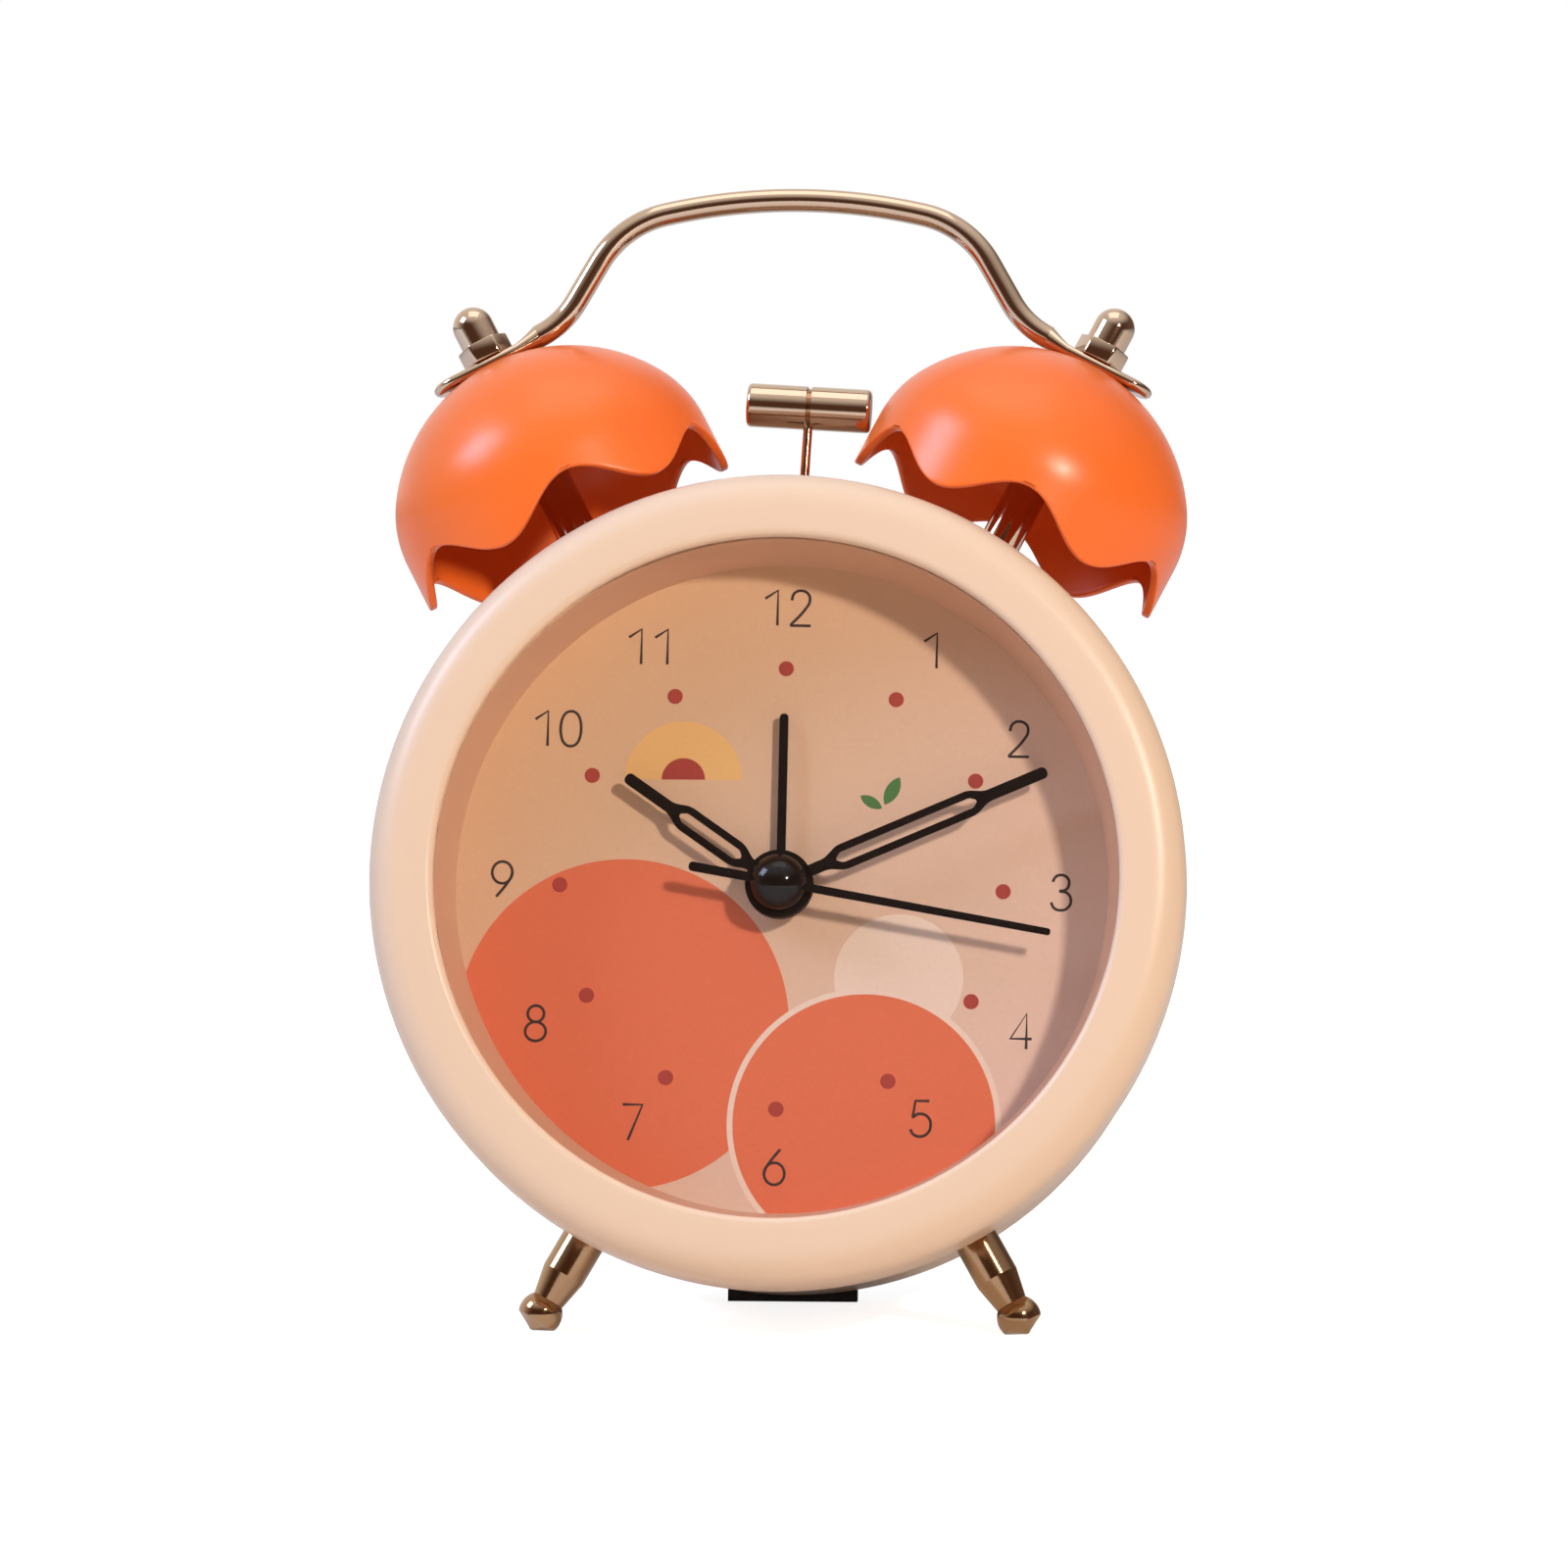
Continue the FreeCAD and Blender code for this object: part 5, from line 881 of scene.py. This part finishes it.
class CLOCK_OT_legs(bpy.types.Operator):
    """Turned legs with ball feet"""
    bl_idname = "clock.legs"
    bl_label = "Legs"

    def execute(self, context):
        root, taper, neck = 39.0, CASE_R + 6.0, CASE_R + 9.2
        ball, tip = CASE_R + 10.75, CASE_R + 12.75
        radius, neck_radius, tip_radius = 2.35, 1.7, 0.5       # the ball is as thick as the leg
        joint = math.degrees(math.asin(neck_radius / radius))
        cone = 112             # degrees from the leg's root at which the ball ends in a blunt cone
        tip_turn = 48
        tip_side = math.radians(tip_turn)
        for side, word in ((-1, "left"), (1, "right")):
            leg = turned([
                (0, root), (radius, root), (radius, taper), (neck_radius, neck),
                (neck_radius, ball - radius * math.cos(math.radians(joint))), (0, ball, cone - joint, 12),
                (tip_radius * math.sin(tip_side), tip - tip_radius + tip_radius * math.cos(tip_side)),
                (0, tip - tip_radius, tip_turn, 5), (0, tip),
            ], steps=64)
            # The legs' plating carries a painted brown reflection of a wooden table in its colour
            finish_piece(leg, "turned_leg_" + word, on_leg(side), "leg_plating_painted_reflection", BODY, ("leg_" + word,),
                         sharp=9)
        return {"FINISHED"}


# -------- back and movement

class CLOCK_OT_back(bpy.types.Operator):
    """Back cover, knobs, screws, battery door and switch"""
    bl_idname = "clock.back"
    bl_label = "Back"

    def execute(self, context):
        for node, material, body, slot in (
            # The back cover is black plastic; its heel, which shows under the case, also stands in for the
            # dark contact shadow there, so it is partly painted shadow
            ("back_cover", "abs", BODY, "black_plastic"),
            ("time_set_knob", "abs", "motion_body", "black_plastic"),
            ("alarm_set_knob", "abs", "alarm_set_body", "black_plastic"),
            ("cover_screws", "zinc", BODY, "plated_steel"),
            ("battery_door", "abs", "battery_door_body", "black_plastic"),
            ("alarm_switch", "abs", "alarm_switch_body", "black_plastic"),
        ):
            smooth_copy(node, material, body)
        return {"FINISHED"}


FINISHES = {
    "zinc": ("post_nuts", "leg_nuts", "battery_contact_plus", "battery_contact_spring", "stator",
             "hammer_lever", "quartz_crystal", "hammer_pivot_pin", "crank_axle", "striker_motor",
             "striker_frame"),
    "grey_abs": ("movement_plate", "movement_cover", "train_bridge"),
    "acetal": ("rotor", "intermediate_wheel", "second_wheel", "third_wheel", "center_wheel", "minute_wheel",
               "hour_wheel", "alarm_wheel", "alarm_arbor", "crank_gear"),
    "brass": ("cannon_pinion", "motor_pinion"),
    "copper": ("drive_coil",),
    "board": ("circuit_board",),
    "jacket": ("battery_cell",),
}


class CLOCK_OT_movement(bpy.types.Operator):
    """Finishes of the movement and the other inner parts"""
    bl_idname = "clock.movement"
    bl_label = "Movement"

    def execute(self, context):
        for material, nodes in FINISHES.items():
            for node in nodes:
                slots = frame["nodes"][node].data.materials
                slots.clear()
                slots.append(MATERIALS[material])
        return {"FINISHED"}


# -------- stage

CAMERA_SIDE = 3.46      # degrees to the right of the case axis
CAMERA_BELOW = 7.55     # degrees below the case axis
CAMERA_AWAY = 950.0     # mm from the bezel
LENS_MM = 209.5
AIM_RIGHT = 0.97        # the view's middle, in mm right of and above the bezel's middle
AIM_ABOVE = 9.35
FLOOR_HALF = 4000.0     # mm


class CLOCK_OT_stage(bpy.types.Operator):
    """Pale floor, studio lights, background and camera"""
    bl_idname = "clock.stage"
    bl_label = "Stage"

    def execute(self, context):
        pale_floor()
        pale_world(context.scene)
        soft_light("key_light", (0.59, -1.0, 0.3), away=900, size=65, watts=4.95, colour="#FFF2E4")
        soft_light("window_fill", (-1.0, -0.45, 0.72), away=1100, size=420, watts=8.8, colour="#C6D9FF")
        soft_light("top_fill", (0.0, -0.25, 1.0), away=1000, size=700, watts=1.8, colour="#F8FAFF")
        place_camera(context.scene)
        return {"FINISHED"}


def pale_floor():
    """Paper that is white to the camera and keeps the clock's shadow, and is dimmer in reflections."""
    bm = bmesh.new()
    bmesh.ops.create_grid(bm, x_segments=1, y_segments=1, size=FLOOR_HALF * MM)
    mesh = bpy.data.meshes.new("pale_floor")
    bm.to_mesh(mesh)
    bm.free()
    floor = new_object("pale_floor", mesh)
    material, tree, output, _ = new_material("pale_paper_floor")
    paper = add(tree, "BsdfDiffuse", {"Color": linear("#F2F2F2")})
    bounce = add(tree, "BsdfDiffuse", {"Color": linear("#ECDCCB")})
    path = add(tree, "LightPath")
    lift = remap(tree, path.outputs["Is Camera Ray"], to_low=0.2, to_high=0.86)
    glow = add(tree, "Emission", {"Color": linear("#FFFFFF"), "Strength": lift})
    both = add(tree, "AddShader", {0: paper.outputs[0], 1: glow.outputs[0]})
    seen = add(tree, "Math", {0: path.outputs["Is Camera Ray"], 1: path.outputs["Is Glossy Ray"]},
               operation="MAXIMUM")
    mixed = add(tree, "MixShader", {0: seen.outputs[0], 1: bounce.outputs[0], 2: both.outputs[0]})
    tree.links.new(mixed.outputs[0], output.inputs["Surface"])
    mesh.materials.append(material)


def pale_world(scene):
    """White to the camera, a soft grey as light, and in reflections a dim warm room under a white ceiling."""
    world = bpy.data.worlds.new("pale_studio")
    scene.world = world
    world.use_nodes = True
    tree = world.node_tree
    tree.nodes.clear()
    path = add(tree, "LightPath")
    coordinates = add(tree, "TexCoord")
    ahead = add(tree, "SeparateXYZ", {"Vector": coordinates.outputs["Generated"]})
    behind = remap(tree, ahead.outputs["Y"], -0.75, 0.45, kind="SMOOTHSTEP")
    ceiling = remap(tree, ahead.outputs["Z"], 0.35, 0.95, kind="SMOOTHSTEP")
    right = remap(tree, ahead.outputs["X"], 0.05, 0.65, 1.0, 0.08, "SMOOTHSTEP")
    paper = add(tree, "Math", {0: behind, 1: right}, operation="MULTIPLY")
    bright = add(tree, "Math", {0: paper.outputs[0], 1: ceiling}, operation="MAXIMUM")
    warm = add(tree, "Mix", {
        "Factor": bright.outputs[0], "A": linear("#5E4334"), "B": linear("#FFFFFF")}, data_type="RGBA")
    seen = add(tree, "Math", {0: path.outputs["Is Camera Ray"], 1: path.outputs["Is Transmission Ray"]},
               operation="MAXIMUM")
    light = add(tree, "Background", {"Color": linear("#FFFFFF"), "Strength": 0.16})
    mirror = add(tree, "Background", {"Color": warm.outputs["Result"], "Strength": 1.0})
    white = add(tree, "Background", {"Color": linear("#FFFFFF"), "Strength": 1.0})
    lit = add(tree, "MixShader", {0: path.outputs["Is Glossy Ray"], 1: light.outputs[0],
                                  2: mirror.outputs[0]})
    mixed = add(tree, "MixShader", {0: seen.outputs[0], 1: lit.outputs[0], 2: white.outputs[0]})
    output = add(tree, "OutputWorld", {"Surface": mixed.outputs[0]})
    output.is_active_output = True


def soft_light(name, direction, away, size, watts, colour):
    """Square area light that faces the clock, placed along a direction in the clock's frame. Takes mm."""
    lamp = bpy.data.lights.new(name, "AREA")
    lamp.shape = "SQUARE"
    lamp.size = size * MM
    lamp.energy = watts
    lamp.color = linear(colour)[:3]
    light = new_object(name, lamp)
    toward = CLOCK.to_3x3() @ Vector(direction).normalized()
    middle = CLOCK @ Vector((0, 10 * MM, 5 * MM))      # near the middle of the case
    light.location = middle + toward * away * MM
    light.rotation_euler = toward.to_track_quat("Z", "Y").to_euler()


def place_camera(scene):
    """Long lens from a little to the right of the case axis and a little under it."""
    side = math.radians(CAMERA_SIDE)
    below = math.radians(CAMERA_BELOW)
    away = Vector((math.sin(side) * math.cos(below), -math.cos(side) * math.cos(below), -math.sin(below)))
    direction = (CLOCK.to_3x3() @ away).normalized()
    right = Vector((0, 0, 1)).cross(direction).normalized()
    above = direction.cross(right)
    eye = CLOCK.translation + direction * CAMERA_AWAY * MM
    target = CLOCK.translation + right * AIM_RIGHT * MM + above * AIM_ABOVE * MM
    camera = bpy.data.cameras.new("camera")
    camera.lens = LENS_MM
    camera.sensor_width = 36.0
    camera.clip_end = 20.0
    viewer = new_object("camera", camera)
    viewer.location = eye
    viewer.rotation_euler = (eye - target).to_track_quat("Z", "Y").to_euler()
    scene.camera = viewer
    scene.view_settings.view_transform = "Standard"


# -------- panel and registration

OPERATORS = (CLOCK_OT_stage, CLOCK_OT_case, CLOCK_OT_dial, CLOCK_OT_hands, CLOCK_OT_bells, CLOCK_OT_handle,
             CLOCK_OT_hammer, CLOCK_OT_legs, CLOCK_OT_back, CLOCK_OT_movement)


class CLOCK_PT_pieces(bpy.types.Panel):
    """Lists the operators that build the clock"""
    bl_idname = "CLOCK_PT_pieces"
    bl_label = "Alarm clock"
    bl_space_type = "VIEW_3D"
    bl_region_type = "UI"
    bl_category = "Clock"

    def draw(self, context):
        for operator in OPERATORS:
            self.layout.operator(operator.bl_idname)


CLASSES = (ClockSizes, ClockColours) + OPERATORS + (CLOCK_PT_pieces,)


def register():
    for item in CLASSES:
        bpy.utils.register_class(item)
    bpy.types.Scene.clock_sizes = PointerProperty(type=ClockSizes)
    bpy.types.Scene.clock_colours = PointerProperty(type=ClockColours)


def unregister():
    del bpy.types.Scene.clock_colours
    del bpy.types.Scene.clock_sizes
    for item in reversed(CLASSES):
        bpy.utils.unregister_class(item)


def main():
    register()
    make_materials(bpy.context.scene.clock_colours)
    bpy.ops.clock.stage()
    bpy.ops.clock.case()
    bpy.ops.clock.dial()
    bpy.ops.clock.hands()
    bpy.ops.clock.bells()
    bpy.ops.clock.handle()
    bpy.ops.clock.hammer()
    bpy.ops.clock.legs()
    bpy.ops.clock.back()
    bpy.ops.clock.movement()


if __name__ == "__main__":
    main()
